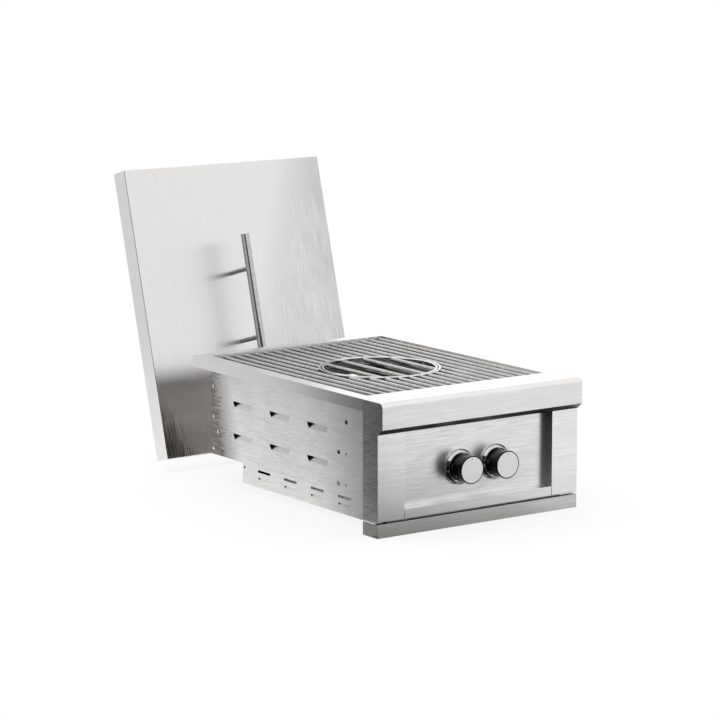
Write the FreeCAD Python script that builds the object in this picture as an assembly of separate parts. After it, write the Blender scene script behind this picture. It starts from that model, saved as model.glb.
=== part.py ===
import FreeCAD, Part
import math
import os

# A gas side burner that is let into a counter. A folded steel deck carries a rod grate with a
# lift-out round centre, two ring burners stand in the firebox below it, two valves with push and
# turn knobs sit behind the front panel, a drip tray pulls out at the bottom, and the loose lid
# leans back behind the burner with its handle to the front.
#
# Millimetres. X runs to the right, Y from the knobs to the back, Z up. While modelling, x is 0 in
# the middle of the width, y is 0 at the front of the posts and z is 0 under the drip tray's front.
# The finished pieces are moved so that the origin is the middle of the rear counter flange.

# Sheet, clearances and the length by which a cutter stands clear of what it cuts
sheet = 1.5
liner_sheet = 1.2
seam_gap = 0.6
tube_gap = 0.3
stem_gap = 0.05
cut_extra = 1.0

# Deck, its hood over the knobs and the opening for the grate
unit_width = 470.0
deck_top = 254.0
deck_back = 628.6
hood_overhang = 14.0
hood_face = 49.4
hood_slope_drop = 11.1
hood_radius = 8.0
edge_radius = 1.2
opening_side_margin = 27.3
opening_back_margin = 26.0
opening_front = 71.0
lip_height = 16.0
skirt_height = 22.4
flange_width = 15.0

# Fascia: end caps, posts, bottom rail and the panel set back between them
cap_depth = 46.7
post_width = 61.4
rail_height = 18.1
panel_recess = 18.9
panel_flange = 10.0

# Liner around the firebox and the vented box below it
liner_bottom = 56.9
liner_drop = 12.5
vent_box_back = 491.6
vent_box_bottom = 16.5
vent_box_flange = 12.0
drip_opening_width = 300.0
drip_opening_front = 130.0
drip_opening_back = 470.0
rear_fold = 30.0
panel_screw_radius = 3.5
panel_screw_head = 1.8
panel_screws_at = ((8.0, 69.6), (23.2, 104.6), (8.0, 133.6), (8.0, 194.6))

# Louvres pressed in along the sides, and the slots of the vented box
louvre_length = 72.0
louvre_slant = 7.0
louvre_height = 11.5
louvre_depth = 13.0
louvre_pitch = 128.5
louvre_front = 196.4
louvre_rows = (98.6, 163.1)
knee_share = 0.3
louvres_in_row = 3
slot_length = 43.5
slot_height = 5.0
slot_depth = 3.6
slot_pitch = 90.6
slot_front = 122.0
slots_in_row = 4
plain_slot_height = 48.6
pressed_slot_height = 33.6
rear_slot_length = 60.0
rear_slot_pitch = 84.0
rear_slot_heights = (150.0, 180.0, 210.0)
rear_slots_in_row = 4

# Holes in the side panels: distance behind the posts, height and radius
side_holes = (
    (137.7, 192.9, 4.5),
    (162.9, 132.8, 4.5),
    (163.0, 72.8, 4.5),
    (138.7, 132.8, 2.2),
    (138.7, 72.8, 2.2),
    (564.0, 66.7, 2.2),
)
box_hole_back = 484.1
box_hole_height = 48.6
box_hole_radius = 2.6

# Grate: rods along the depth, flat bars under them, and the ring around the lift-out centre
rod_radius = 4.5
rod_pitch = 23.6
rod_count = 18
rod_drop = 3.0
rod_end_gap = 4.4
cross_bar_width = 8.0
cross_bar_height = 5.0
cross_bar_inset = 7.0
cross_bar_reach = 2.0
ring_centre = 320.0
ring_outer = 119.7
ring_wall = 4.5
ring_height = 14.0
centre_gap = 2.0
centre_rod_offset = 11.8
centre_rod_count = 4
lug_count = 4
lug_reach = 9.0
lug_width = 16.0
lug_height = 3.0
ledge_width = 20.0
ledge_height = 15.0

# Burners, their stand, mixer tubes and spark electrode
burner_gap = 29.0
burner_height = 22.0
outer_burner_outer = 86.0
outer_burner_inner = 58.0
inner_burner_outer = 36.0
inner_burner_inner = 9.0
burner_chamfer = 3.0
burner_port_width = 2.4
burner_port_depth = 4.0
outer_port_count = 30
inner_port_count = 14
stand_width = 40.0
stand_overhang = 15.0
stand_foot = 15.0
mixer_radius = 13.5
mixer_wall = 1.5
mixer_mouth_gap = 0.6
mixer_bend = 32.0
mixer_turn_at = 180.0
igniter_offset = 47.0
insulator_radius = 4.0
insulator_collar = 6.0
insulator_height = 26.0
electrode_radius = 1.2
electrode_height = 9.0
terminal_radius = 2.5
terminal_height = 5.0

# Gas train
valve_height = 108.6
knob_spacing = 84.0
knob_pair_offset = 8.0
valve_plate_width = 44.0
valve_plate_height = 26.0
valve_plate_sheet = 3.0
valve_radius = 13.0
valve_length = 34.0
valve_boss_radius = 8.0
orifice_flats = 11.0
orifice_length = 9.0
orifice_bore = 0.9
manifold_height = 76.0
manifold_back = 45.0
manifold_radius = 10.65
manifold_wall = 2.3
manifold_left_end = -60.0
socket_height = 16.0
socket_radius = 10.0
inlet_back = 60.0
inlet_radius = 7.94
inlet_bore = 4.5
inlet_length = 14.0
inlet_shoulder_radius = 8.6
inlet_nut_flats = 22.0
inlet_nut_height = 5.0
inlet_block_width = 20.0
inlet_block_depth = 36.0
inlet_block_height = 26.0
inlet_wall_gap = 1.0

# Knobs, given as distances in front of the panel
bezel_outer = 34.2
bezel_inner = 27.6
bezel_height = 7.8
bezel_base = 1.0
bezel_hole = 10.0
bezel_round = 1.5
stem_radius = 4.0
stem_hole = 6.5
stem_depth = 28.0
knob_gap = 4.0
knob_flange_radius = 26.2
knob_flange_height = 5.0
knob_waist_radius = 24.3
knob_waist_start = 14.0
knob_waist_end = 30.0
knob_cap_radius = 26.8
knob_cap_start = 36.5
knob_flare_bulge = 0.6
knob_height = 41.0
knob_bevel = 1.1
knob_hub_depth = 24.0
face_sheet = 1.0
tick_length = 3.2
tick_width = 1.1
tick_inset = 2.4
washer_radius = 7.0
washer_sheet = 1.0

# Drip tray
tray_front_height = 25.65
tray_front_gap = 4.45
tray_lip = 12.0
tray_rim_gap = 1.0
tray_side_gap = 2.0
tray_back_gap = 20.0
runner_width = 10.0
runner_height = 1.2
runner_inset = 30.0

# Lid
lid_clearance = 1.25
lid_length = 592.4
lid_skirt = 42.9
lid_lean = 15.35
lid_foot_gap = 92.6
lid_foot_height = 28.2
handle_side = -19.0
handle_middle = 292.0
handle_length = 284.0
handle_radius = 8.75
handle_post_spacing = 142.0
handle_post_radius = 5.0
handle_standoff = 72.0
handle_screw_radius = 6.0
handle_screw_height = 3.0

# Worked out from the sizes above
half_width = unit_width / 2
fascia_bottom = tray_front_height + tray_front_gap
deck_under = deck_top - sheet
opening_half = half_width - opening_side_margin
opening_back = deck_back - opening_back_margin
liner_out = opening_half
liner_in = liner_out - liner_sheet
liner_back_out = opening_back
liner_back_in = liner_back_out - liner_sheet
liner_top = deck_top - liner_drop
lip_bottom = deck_top - lip_height
wall_front_out = opening_front
wall_front_in = wall_front_out + liner_sheet
counter_height = deck_top - skirt_height
hood_bottom = deck_top - hood_face
soffit = hood_bottom - hood_slope_drop
post_inner = half_width - post_width
panel_back = panel_recess + sheet
cap_back = cap_depth - seam_gap / 2
skirt_front = cap_depth + seam_gap / 2
cap_in = half_width - sheet
grate_half = rod_pitch * (rod_count - 1) / 2
rod_height = deck_top - rod_drop - rod_radius
rod_under = rod_height - rod_radius
bar_under = rod_under - cross_bar_height
ring_top = deck_top - rod_drop
ring_inner = ring_outer - ring_wall
centre_outer = ring_inner - centre_gap
centre_inner = centre_outer - ring_wall
ring_under = ring_top - ring_height
lug_top = ring_under + lug_height
floor_top = liner_bottom + liner_sheet
burner_top = bar_under - burner_gap
burner_base = burner_top - burner_height
stand_reach = drip_opening_width / 2 + stand_overhang
mixer_front = panel_back + valve_length + orifice_length + mixer_mouth_gap
runner_top = vent_box_bottom + liner_sheet + runner_height
knob_places = {
    "left": knob_pair_offset - knob_spacing / 2,
    "right": knob_pair_offset + knob_spacing / 2,
}
lid_half = half_width + sheet + lid_clearance

nodes = {}


def vector(x, y, z):
    return FreeCAD.Vector(x, y, z)


def block(x0, x1, y0, y1, z0, z1):
    return Part.makeBox(x1 - x0, y1 - y0, z1 - z0, vector(x0, y0, z0))


def rod(radius, start, end):
    along = end - start
    return Part.makeCylinder(radius, along.Length, start, along)


def tube(outer, inner, start, end):
    return rod(outer, start, end).cut(rod(inner, start, end))


def prism(points, sweep):
    """Extrude the closed outline through points along sweep."""
    outline = Part.makePolygon(points + [points[0]])
    return Part.Face(outline).extrude(sweep)


def joined(shapes):
    first, rest = shapes[0], shapes[1:]
    return first.fuse(rest).removeSplitter()


def mirrored(shape):
    return shape.mirror(vector(0, 0, 0), vector(1, 0, 0))


def hexagon_bar(flats, start, end):
    """A hexagonal bar along X or Y, flats across, from start to end."""
    along = end - start
    radius = flats / math.sqrt(3)
    side = vector(0, 0, 1)
    across = along.cross(side).normalize()
    points = []
    for corner in range(6):
        turn = math.radians(60 * corner)
        points.append(start + across * (radius * math.cos(turn)) + side * (radius * math.sin(turn)))
    return prism(points, along)


def add(name, shape):
    nodes[name] = shape


# Deck and fascia


def hood_and_top():
    """The folded section of the hood with the deck's top sheet, across the whole width."""
    front = -hood_overhang
    slope = math.hypot(hood_overhang, hood_slope_drop)
    rise = hood_slope_drop / hood_overhang
    inner_shift = sheet * slope / hood_overhang
    inner_at_face = hood_bottom - sheet * rise + inner_shift
    inner_at_post = soffit - sheet * rise + inner_shift
    corner = hood_radius * (1 - math.sqrt(0.5))
    inner_radius = hood_radius - sheet
    inner_corner = sheet + inner_radius * (1 - math.sqrt(0.5))

    def at(y, z):
        return vector(-half_width, y, z)

    def line(a, b):
        return Part.makeLine(at(*a), at(*b))

    def arc(a, b, c):
        return Part.Arc(at(*a), at(*b), at(*c)).toShape()

    top_bend = (front + hood_radius, deck_top)
    face_bend = (front, deck_top - hood_radius)
    inner_top_bend = (front + hood_radius, deck_under)
    inner_face_bend = (front + sheet, deck_top - hood_radius)
    edges = [
        line((deck_back, deck_top), top_bend),
        arc(top_bend, (front + corner, deck_top - corner), face_bend),
        line(face_bend, (front, hood_bottom)),
        line((front, hood_bottom), (0, soffit)),
        line((0, soffit), (sheet, soffit)),
        line((sheet, soffit), (sheet, inner_at_post)),
        line((sheet, inner_at_post), (front + sheet, inner_at_face)),
        line((front + sheet, inner_at_face), inner_face_bend),
        arc(inner_face_bend, (front + inner_corner, deck_top - inner_corner), inner_top_bend),
        line(inner_top_bend, (deck_back, deck_under)),
        line((deck_back, deck_under), (deck_back, deck_top)),
    ]
    return Part.Face(Part.Wire(edges)).extrude(vector(unit_width, 0, 0))


def deck():
    low = counter_height
    pieces = [hood_and_top()]
    pieces.append(block(-cap_in, cap_in, 0, panel_back, soffit, soffit + sheet))
    for side in (-1, 1):
        x0, x1 = sorted((side * cap_in, side * half_width))
        f0, f1 = sorted((side * (half_width - flange_width), side * half_width))
        pieces.append(block(x0, x1, skirt_front, deck_back, low, deck_top))
        pieces.append(block(f0, f1, skirt_front, deck_back, low, low + sheet))
    pieces.append(block(-half_width, half_width, deck_back - sheet, deck_back, low, deck_top))
    pieces.append(
        block(-half_width, half_width, deck_back - flange_width, deck_back, low, low + sheet)
    )
    lip_half = opening_half + sheet
    pieces.append(
        block(
            -lip_half, lip_half, opening_front - sheet, opening_back + sheet, lip_bottom, deck_top
        )
    )
    opening = block(
        -opening_half, opening_half, opening_front, opening_back, deck_top - 2 * lip_height, deck_top
    )
    folded = joined(pieces).cut(opening)
    return folded.makeFillet(edge_radius, outer_top_edges(folded))


def outer_top_edges(shape):
    """The straight edges where the top sheet turns down at the sides and at the back."""
    edges = []
    for edge in shape.Edges:
        box = edge.BoundBox
        on_top = box.ZMin > deck_top - stem_gap
        at_side = min(abs(box.XMin), abs(box.XMax)) > cap_in and box.XLength < sheet
        at_back = box.YMin > deck_back - stem_gap
        behind_hood = box.YMax > hood_radius
        if on_top and behind_hood and (at_side or at_back):
            edges.append(edge)
    return edges


def end_cap():
    """Left cheek: fills the hood's section and folds in behind the post."""
    front = sheet - hood_overhang
    slope = math.hypot(hood_overhang, hood_slope_drop)
    rise = hood_slope_drop / hood_overhang
    inner_shift = sheet * slope / hood_overhang
    face_low = hood_bottom - sheet * rise + inner_shift
    post_top = soffit - sheet * rise + inner_shift
    radius = hood_radius - sheet
    corner = radius * (1 - math.sqrt(0.5))

    def at(y, z):
        return vector(-half_width, y, z)

    points = [
        at(front + radius, deck_under),
        at(cap_back, deck_under),
        at(cap_back, fascia_bottom),
        at(sheet, fascia_bottom),
        at(sheet, post_top),
        at(front, face_low),
        at(front, deck_under - radius),
    ]
    edges = [Part.makeLine(a, b) for a, b in zip(points, points[1:])]
    bend = at(front + corner, deck_under - corner)
    edges.append(Part.Arc(points[-1], bend, points[0]).toShape())
    cheek = Part.Face(Part.Wire(edges)).extrude(vector(sheet, 0, 0))
    fold = block(-cap_in, -liner_out, cap_back - sheet, cap_back, fascia_bottom, deck_under)
    return joined([cheek, fold])


def post():
    """Left post: front sheet, inner return to the panel and a bottom flange."""
    low = fascia_bottom
    front = block(-half_width, -post_inner, 0, sheet, low, soffit)
    inner = block(-post_inner - sheet, -post_inner, 0, panel_recess, low, soffit)
    foot = block(-cap_in, -post_inner, 0, panel_recess, low, low + sheet)
    return joined([front, inner, foot])


def bottom_rail():
    end = post_inner - seam_gap
    top = fascia_bottom + rail_height
    front = block(-end, end, 0, sheet, fascia_bottom, top)
    sill = block(-end, end, 0, panel_recess, top - sheet, top)
    foot = block(-end, end, 0, panel_recess, fascia_bottom, fascia_bottom + sheet)
    return joined([front, sill, foot])


def control_panel():
    half = liner_in
    panel = block(-half, half, panel_recess, panel_back, fascia_bottom, soffit)
    pieces = [panel]
    for side in (-1, 1):
        x0, x1 = sorted((side * (half - sheet), side * half))
        pieces.append(block(x0, x1, panel_recess, panel_back + panel_flange, liner_bottom, soffit))
    panel = joined(pieces)
    for place in knob_places.values():
        start = vector(place, panel_recess - cut_extra, valve_height)
        end = vector(place, panel_back + cut_extra, valve_height)
        panel = panel.cut(rod(stem_hole, start, end))
    return panel


def build_deck_and_fascia():
    add("deck", deck())
    cap = end_cap()
    add("left_end_cap", cap)
    add("right_end_cap", mirrored(cap))
    left = post()
    add("left_post", left)
    add("right_post", mirrored(left))
    add("bottom_rail", bottom_rail())
    add("control_panel", control_panel())


# Liner, louvres and vented box


def louvre_outline(x, front, low, length, slant, height):
    """Corners of a louvre in the wall: a straight top, and ends that curve in to the bottom."""
    back = front + length
    knee = slant * knee_share
    return [
        vector(x, front, low + height),
        vector(x, back, low + height),
        vector(x, back - knee, low + slant - knee),
        vector(x, back - slant, low),
        vector(x, front + slant, low),
        vector(x, front + knee, low + slant - knee),
    ]


def pressed_louvre(front, low, length, slant, height, depth):
    """A pocket pressed into the left wall, deepest at its top edge, which is cut open.

    Returns the hole to cut in the wall, and the sheet of the pocket: the slope and both ends.
    """
    face = -liner_out
    top = low + height
    wall = liner_sheet
    thick = wall * math.hypot(depth, height) / height
    outside = louvre_outline(face - cut_extra, front, low, length, slant, height)
    hole = prism(outside, vector(wall + 2 * cut_extra, 0, 0))
    outline = louvre_outline(face, front, low, length, slant, height)
    bounds = prism(outline, vector(depth + thick, 0, 0))
    sheet_section = [
        vector(face, front, low),
        vector(face + thick, front, low),
        vector(face + depth + thick, front, top),
        vector(face, front, top),
    ]
    solid = prism(sheet_section, vector(0, length, 0)).common(bounds)
    hollow_section = [
        vector(face, front, low),
        vector(face + depth, front, top),
        vector(face, front, top),
    ]
    inner = louvre_outline(face, front + wall, low, length - 2 * wall, slant, height)
    inner_bounds = prism(inner, vector(depth, 0, 0))
    hollow = prism(hollow_section, vector(0, length, 0)).common(inner_bounds)
    return hole, solid.cut(hollow)


def long_slot(face, front, middle, length, height):
    """A cutter for a slot with round ends, from x = face through one thickness of the liner."""
    radius = height / 2
    depth = liner_sheet + 2 * cut_extra
    start = front + radius
    end = front + length - radius
    ends = [
        rod(radius, vector(face, place, middle), vector(face + depth, place, middle))
        for place in (start, end)
    ]
    middle_block = block(face, face + depth, start, end, middle - radius, middle + radius)
    return joined(ends + [middle_block])


def wall_hole(back, height, radius):
    """A cutter for a round hole through the left wall."""
    start = vector(-liner_out - cut_extra, back, height)
    return rod(radius, start, vector(-liner_in + cut_extra, back, height))


def side_panel():
    """Left side panel with its louvres and round holes."""
    face = -liner_out
    panel = block(face, -liner_in, panel_back, liner_back_out, liner_bottom, lip_bottom)
    in_lip = block(face, -liner_in, wall_front_out, liner_back_out, lip_bottom, liner_top)
    holes = []
    sheets = []
    for low in louvre_rows:
        for index in range(louvres_in_row):
            front = louvre_front + index * louvre_pitch
            hole, pressed = pressed_louvre(
                front, low, louvre_length, louvre_slant, louvre_height, louvre_depth
            )
            holes.append(hole)
            sheets.append(pressed)
    for back, height, radius in side_holes:
        holes.append(wall_hole(back, height, radius))
    return joined([panel.cut(holes), in_lip] + sheets)


def right_side_panel():
    inlet_hole = wall_hole(inlet_back, manifold_height, inlet_shoulder_radius + tube_gap)
    return mirrored(side_panel().cut(inlet_hole))


def rear_panel():
    low = liner_bottom
    panel = block(-liner_in, liner_in, liner_back_in, liner_back_out, low, liner_top)
    pieces = [panel]
    for side in (-1, 1):
        x0, x1 = sorted((side * (liner_in - liner_sheet), side * liner_in))
        front = liner_back_out - rear_fold
        pieces.append(block(x0, x1, front, liner_back_out, floor_top, bar_under - ledge_height))
    panel = joined(pieces)
    slots = []
    first = -rear_slot_pitch * (rear_slots_in_row - 1) / 2
    for height in rear_slot_heights:
        for index in range(rear_slots_in_row):
            middle = first + index * rear_slot_pitch
            start = middle - rear_slot_length / 2
            cutter = long_slot(0, start, height, rear_slot_length, slot_height)
            cutter.rotate(vector(0, 0, 0), vector(0, 0, 1), -90)
            cutter.translate(vector(0, liner_back_out + cut_extra, 0))
            slots.append(cutter)
    return panel.cut(slots)


def firebox_front():
    wall = block(-liner_in, liner_in, wall_front_out, wall_front_in, liner_bottom, liner_top)
    for place in knob_places.values():
        start = vector(place, wall_front_out - cut_extra, valve_height)
        end = vector(place, wall_front_in + cut_extra, valve_height)
        wall = wall.cut(rod(mixer_radius + tube_gap, start, end))
    return wall


def firebox_floor():
    floor = block(-liner_in, liner_in, wall_front_in, liner_back_in, liner_bottom, floor_top)
    half = drip_opening_width / 2
    hole = block(-half, half, drip_opening_front, drip_opening_back, 0, deck_top)
    return floor.cut(hole)


def vent_box():
    """The open box under the firebox: floor, two slotted sides with top flanges, and a back."""
    low = vent_box_bottom
    high = liner_bottom
    pieces = [block(-liner_out, liner_out, panel_back, vent_box_back, low, low + liner_sheet)]
    pieces.append(
        block(-liner_out, liner_out, vent_box_back - liner_sheet, vent_box_back, low, high)
    )
    side = block(-liner_out, -liner_in, panel_back, vent_box_back, low, high)
    top = block(
        -liner_out, -liner_out + vent_box_flange, wall_front_in, vent_box_back, high - liner_sheet,
        high
    )
    holes = []
    sheets = [top]
    for index in range(slots_in_row):
        front = slot_front + index * slot_pitch
        face = -liner_out - cut_extra
        holes.append(long_slot(face, front, plain_slot_height, slot_length, slot_height))
        hole, pressed = pressed_louvre(
            front, pressed_slot_height - slot_height / 2, slot_length, slot_height / 2,
            slot_height, slot_depth
        )
        holes.append(hole)
        sheets.append(pressed)
    holes.append(wall_hole(box_hole_back, box_hole_height, box_hole_radius))
    left = joined([side.cut(holes)] + sheets)
    return joined(pieces + [left, mirrored(left)])


def panel_screws():
    heads = []
    for inset, height in panel_screws_at:
        start = vector(-liner_out, liner_back_out - inset, height)
        head = rod(panel_screw_radius, start, start - vector(panel_screw_head, 0, 0))
        heads.append(head)
    return Part.makeCompound(heads)


def ledge(wall_face, direction):
    """An angle on the firebox wall at wall_face that carries the grate; direction is its side."""
    top = bar_under
    y0, y1 = sorted((wall_face, wall_face + direction * liner_sheet))
    upright = block(-grate_half, grate_half, y0, y1, top - ledge_height, top)
    y0, y1 = sorted((wall_face, wall_face + direction * ledge_width))
    shelf = block(-grate_half, grate_half, y0, y1, top - liner_sheet, top)
    return joined([upright, shelf])


def build_liner():
    left = side_panel()
    add("left_side_panel", left)
    add("right_side_panel", right_side_panel())
    add("rear_panel", rear_panel())
    add("firebox_front", firebox_front())
    add("firebox_floor", firebox_floor())
    add("vent_box", vent_box())
    screws = panel_screws()
    add("left_panel_screws", screws)
    add("right_panel_screws", mirrored(screws))
    add("front_ledge", ledge(wall_front_in, 1))
    add("rear_ledge", ledge(liner_back_in, -1))


# Grate with its lift-out centre


def rod_places(count, pitch, middle):
    first = middle - pitch * (count - 1) / 2
    return [first + index * pitch for index in range(count)]


def grate_rods():
    front = opening_front + rod_end_gap
    back = opening_back - rod_end_gap
    hole = rod(
        ring_outer, vector(0, ring_centre, ring_under), vector(0, ring_centre, deck_top)
    )
    rods = []
    for place in rod_places(rod_count, rod_pitch, 0):
        full = rod(rod_radius, vector(place, front, rod_height), vector(place, back, rod_height))
        if abs(place) < ring_outer:
            rods.extend(full.cut(hole).Solids)
        else:
            rods.append(full)
    return Part.makeCompound(rods)


def grate_cross_bars():
    end = grate_half + cross_bar_reach
    half = cross_bar_width / 2
    places = [
        opening_front + rod_end_gap + cross_bar_inset,
        ring_centre - ring_outer - cross_bar_width,
        ring_centre + ring_outer + cross_bar_width,
        opening_back - rod_end_gap - cross_bar_inset,
    ]
    bars = [
        block(-end, end, place - half, place + half, bar_under, rod_under) for place in places
    ]
    return Part.makeCompound(bars)


def grate_ring():
    low = vector(0, ring_centre, ring_under)
    ring = tube(ring_outer, ring_inner, low, vector(0, ring_centre, ring_top))
    middle = (ring_outer + ring_inner) / 2
    pieces = [ring]
    for index in range(lug_count):
        lug = block(
            ring_inner - lug_reach, middle, -lug_width / 2, lug_width / 2, ring_under, lug_top
        )
        turn = 360 / lug_count * (index + 0.5)
        lug.rotate(vector(0, 0, 0), vector(0, 0, 1), turn)
        lug.translate(vector(0, ring_centre, 0))
        pieces.append(lug)
    return joined(pieces)


def centre_ring():
    low = vector(0, ring_centre, lug_top)
    return tube(centre_outer, centre_inner, low, vector(0, ring_centre, ring_top))


def centre_rods():
    inside = rod(
        centre_inner, vector(0, ring_centre, ring_under), vector(0, ring_centre, deck_top)
    )
    rods = []
    for place in rod_places(centre_rod_count, 2 * rod_pitch, centre_rod_offset):
        start = vector(place, ring_centre - ring_outer, rod_height)
        end = vector(place, ring_centre + ring_outer, rod_height)
        rods.append(rod(rod_radius, start, end).common(inside))
    return Part.makeCompound(rods)


def build_grate():
    add("grate_rods", grate_rods())
    add("grate_cross_bars", grate_cross_bars())
    add("grate_ring", grate_ring())
    add("centre_ring", centre_ring())
    add("centre_rods", centre_rods())


# Burners


def burner_ring(outer, inner, port_count):
    """A ring casting with a bevelled top and flame ports through its outer rim."""
    low = burner_base
    high = burner_top
    bevel = burner_chamfer
    section = [
        vector(inner, 0, low),
        vector(outer, 0, low),
        vector(outer, 0, high - bevel),
        vector(outer - bevel, 0, high),
        vector(inner + bevel, 0, high),
        vector(inner, 0, high - bevel),
    ]
    face = Part.Face(Part.makePolygon(section + [section[0]]))
    ring = face.revolve(vector(0, 0, 0), vector(0, 0, 1), 360)
    ports = []
    half = burner_port_width / 2
    for index in range(port_count):
        port = block(
            outer - 2 * bevel, outer + cut_extra, -half, half, high - burner_port_depth,
            high + cut_extra
        )
        port.rotate(vector(0, 0, 0), vector(0, 0, 1), 360 / port_count * index)
        ports.append(port)
    ring = ring.cut(ports)
    ring.translate(vector(0, ring_centre, 0))
    return ring


def pipe_route(points, bend):
    """Straight runs through points, joined by arcs of radius bend where the route turns."""
    edges = []
    start = points[0]
    for before, corner, after in zip(points, points[1:], points[2:]):
        incoming = (corner - before).normalize()
        outgoing = (after - corner).normalize()
        turn = incoming.getAngle(outgoing)
        setback = bend * math.tan(turn / 2)
        arc_start = corner - incoming * setback
        arc_end = corner + outgoing * setback
        inward = (outgoing - incoming).normalize()
        centre = corner + inward * (bend / math.cos(turn / 2))
        middle = centre - inward * bend
        edges.append(Part.makeLine(start, arc_start))
        edges.append(Part.Arc(arc_start, middle, arc_end).toShape())
        start = arc_end
    edges.append(Part.makeLine(start, points[-1]))
    return Part.Wire(edges)


def bent_tube(points, bend, outer, inner):
    route = pipe_route(points, bend)
    along = (points[1] - points[0]).normalize()
    shapes = []
    for radius in (outer, inner):
        ring = Part.Wire(Part.makeCircle(radius, points[0], along))
        shapes.append(route.makePipeShell([ring], True, False))
    return shapes[0].cut(shapes[1])


def outer_mixer():
    """Tube from the right valve's jet to the underside of the outer ring."""
    place = knob_places["right"]
    middle = (outer_burner_outer + outer_burner_inner) / 2
    rise = ring_centre - math.sqrt(middle**2 - place**2)
    points = [
        vector(place, mixer_front, valve_height),
        vector(place, rise, valve_height),
        vector(place, rise, burner_base),
    ]
    return bent_tube(points, mixer_bend, mixer_radius, mixer_radius - mixer_wall)


def inner_mixer():
    """Tube from the left valve's jet to the underside of the inner ring."""
    place = knob_places["left"]
    points = [
        vector(place, mixer_front, valve_height),
        vector(place, mixer_turn_at, valve_height),
        vector(0, ring_centre, valve_height),
        vector(0, ring_centre, burner_base),
    ]
    return bent_tube(points, mixer_bend, mixer_radius, mixer_radius - mixer_wall)


def stand_hole(y, radius):
    """A cutter through the stand's top for what stands in it."""
    low = vector(0, y, burner_base - sheet - cut_extra)
    return rod(radius + tube_gap, low, vector(0, y, burner_base + cut_extra))


def burner_stand():
    """A folded bridge that carries both rings, with a tongue for the spark electrode."""
    half = stand_width / 2
    y0 = ring_centre - half
    y1 = ring_centre + half
    top = burner_base
    pieces = [block(-stand_reach, stand_reach, y0, y1, top - sheet, top)]
    for side in (-1, 1):
        x0, x1 = sorted((side * (stand_reach - sheet), side * stand_reach))
        f0, f1 = sorted((side * (stand_reach - sheet), side * (stand_reach + stand_foot)))
        pieces.append(block(x0, x1, y0, y1, floor_top, top))
        pieces.append(block(f0, f1, y0, y1, floor_top, floor_top + sheet))
    tip = ring_centre - igniter_offset - 2 * insulator_collar
    width = 2 * insulator_collar
    pieces.append(block(-width, width, tip, y0, top - sheet, top))
    stand = joined(pieces)
    stand = stand.cut(stand_hole(ring_centre, mixer_radius))
    return stand.cut(stand_hole(ring_centre - igniter_offset, insulator_radius))


def igniter_insulator():
    y = ring_centre - igniter_offset
    low = burner_base - insulator_collar
    core = rod(insulator_radius, vector(0, y, low), vector(0, y, low + insulator_height))
    collar_low = vector(0, y, burner_base)
    collar = rod(insulator_collar, collar_low, collar_low + vector(0, 0, insulator_radius))
    bore = rod(
        electrode_radius + stem_gap, vector(0, y, low), vector(0, y, low + insulator_height)
    )
    return joined([core, collar]).cut(bore)


def igniter_electrode():
    y = ring_centre - igniter_offset
    low = burner_base - insulator_collar
    high = low + insulator_height + electrode_height
    wire = rod(electrode_radius, vector(0, y, low - terminal_height), vector(0, y, high))
    terminal = rod(terminal_radius, vector(0, y, low - terminal_height), vector(0, y, low))
    return joined([wire, terminal])


def build_burners():
    add("outer_burner", burner_ring(outer_burner_outer, outer_burner_inner, outer_port_count))
    add("inner_burner", burner_ring(inner_burner_outer, inner_burner_inner, inner_port_count))
    add("outer_mixer_tube", outer_mixer())
    add("inner_mixer_tube", inner_mixer())
    add("burner_stand", burner_stand())
    add("igniter_insulator", igniter_insulator())
    add("igniter_electrode", igniter_electrode())


# Gas train


def valve(place):
    """Brass tap: plate against the panel, barrel, and a boss down to the manifold."""
    z = valve_height
    front = panel_back
    plate = block(
        place - valve_plate_width / 2, place + valve_plate_width / 2,
        front, front + valve_plate_sheet,
        z - valve_plate_height / 2, z + valve_plate_height / 2
    )
    barrel = rod(valve_radius, vector(place, front, z), vector(place, front + valve_length, z))
    boss = rod(
        valve_boss_radius,
        vector(place, manifold_back, manifold_height + socket_height),
        vector(place, manifold_back, z)
    )
    bore = rod(
        stem_radius + stem_gap, vector(place, front, z), vector(place, front + stem_depth, z)
    )
    return joined([plate, barrel, boss]).cut(bore)


def orifice(place):
    start = vector(place, panel_back + valve_length, valve_height)
    end = start + vector(0, orifice_length, 0)
    return hexagon_bar(orifice_flats, start, end).cut(rod(orifice_bore, start, end))


def gas_manifold():
    """Pipe across the front with a socket under each valve and a closed left end."""
    right_end = liner_in - inlet_block_width
    z = manifold_height
    outer = rod(
        manifold_radius,
        vector(manifold_left_end, manifold_back, z),
        vector(right_end, manifold_back, z)
    )
    pieces = [outer]
    for place in knob_places.values():
        start = vector(place, manifold_back, z)
        pieces.append(rod(socket_radius, start, start + vector(0, 0, socket_height)))
    pipe = joined(pieces)
    inner = rod(
        manifold_radius - manifold_wall,
        vector(manifold_left_end + manifold_wall, manifold_back, z),
        vector(right_end, manifold_back, z)
    )
    return pipe.cut(inner)


def gas_inlet():
    """Block that turns the pipe's end back, and the threaded nipple through the right side."""
    z = manifold_height
    half = inlet_block_height / 2
    back = wall_front_out - inlet_wall_gap
    body = block(
        liner_in - inlet_block_width, liner_in, back - inlet_block_depth, back, z - half, z + half
    )
    wall = vector(liner_in, inlet_back, z)
    nut_face = vector(liner_out + inlet_nut_height, inlet_back, z)
    tip = nut_face + vector(inlet_length, 0, 0)
    shoulder = rod(inlet_shoulder_radius, wall, nut_face)
    nipple = rod(inlet_radius, nut_face, tip)
    middle = vector(liner_in - inlet_block_width / 2, inlet_back, z)
    gallery_end = vector(liner_in - inlet_block_width / 2, manifold_back, z)
    pipe_end = vector(liner_in - inlet_block_width, manifold_back, z)
    bores = [
        rod(inlet_bore, middle, tip),
        rod(inlet_bore, gallery_end, middle),
        rod(inlet_bore, pipe_end, gallery_end),
    ]
    return joined([body, shoulder, nipple]).cut(bores)


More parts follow.
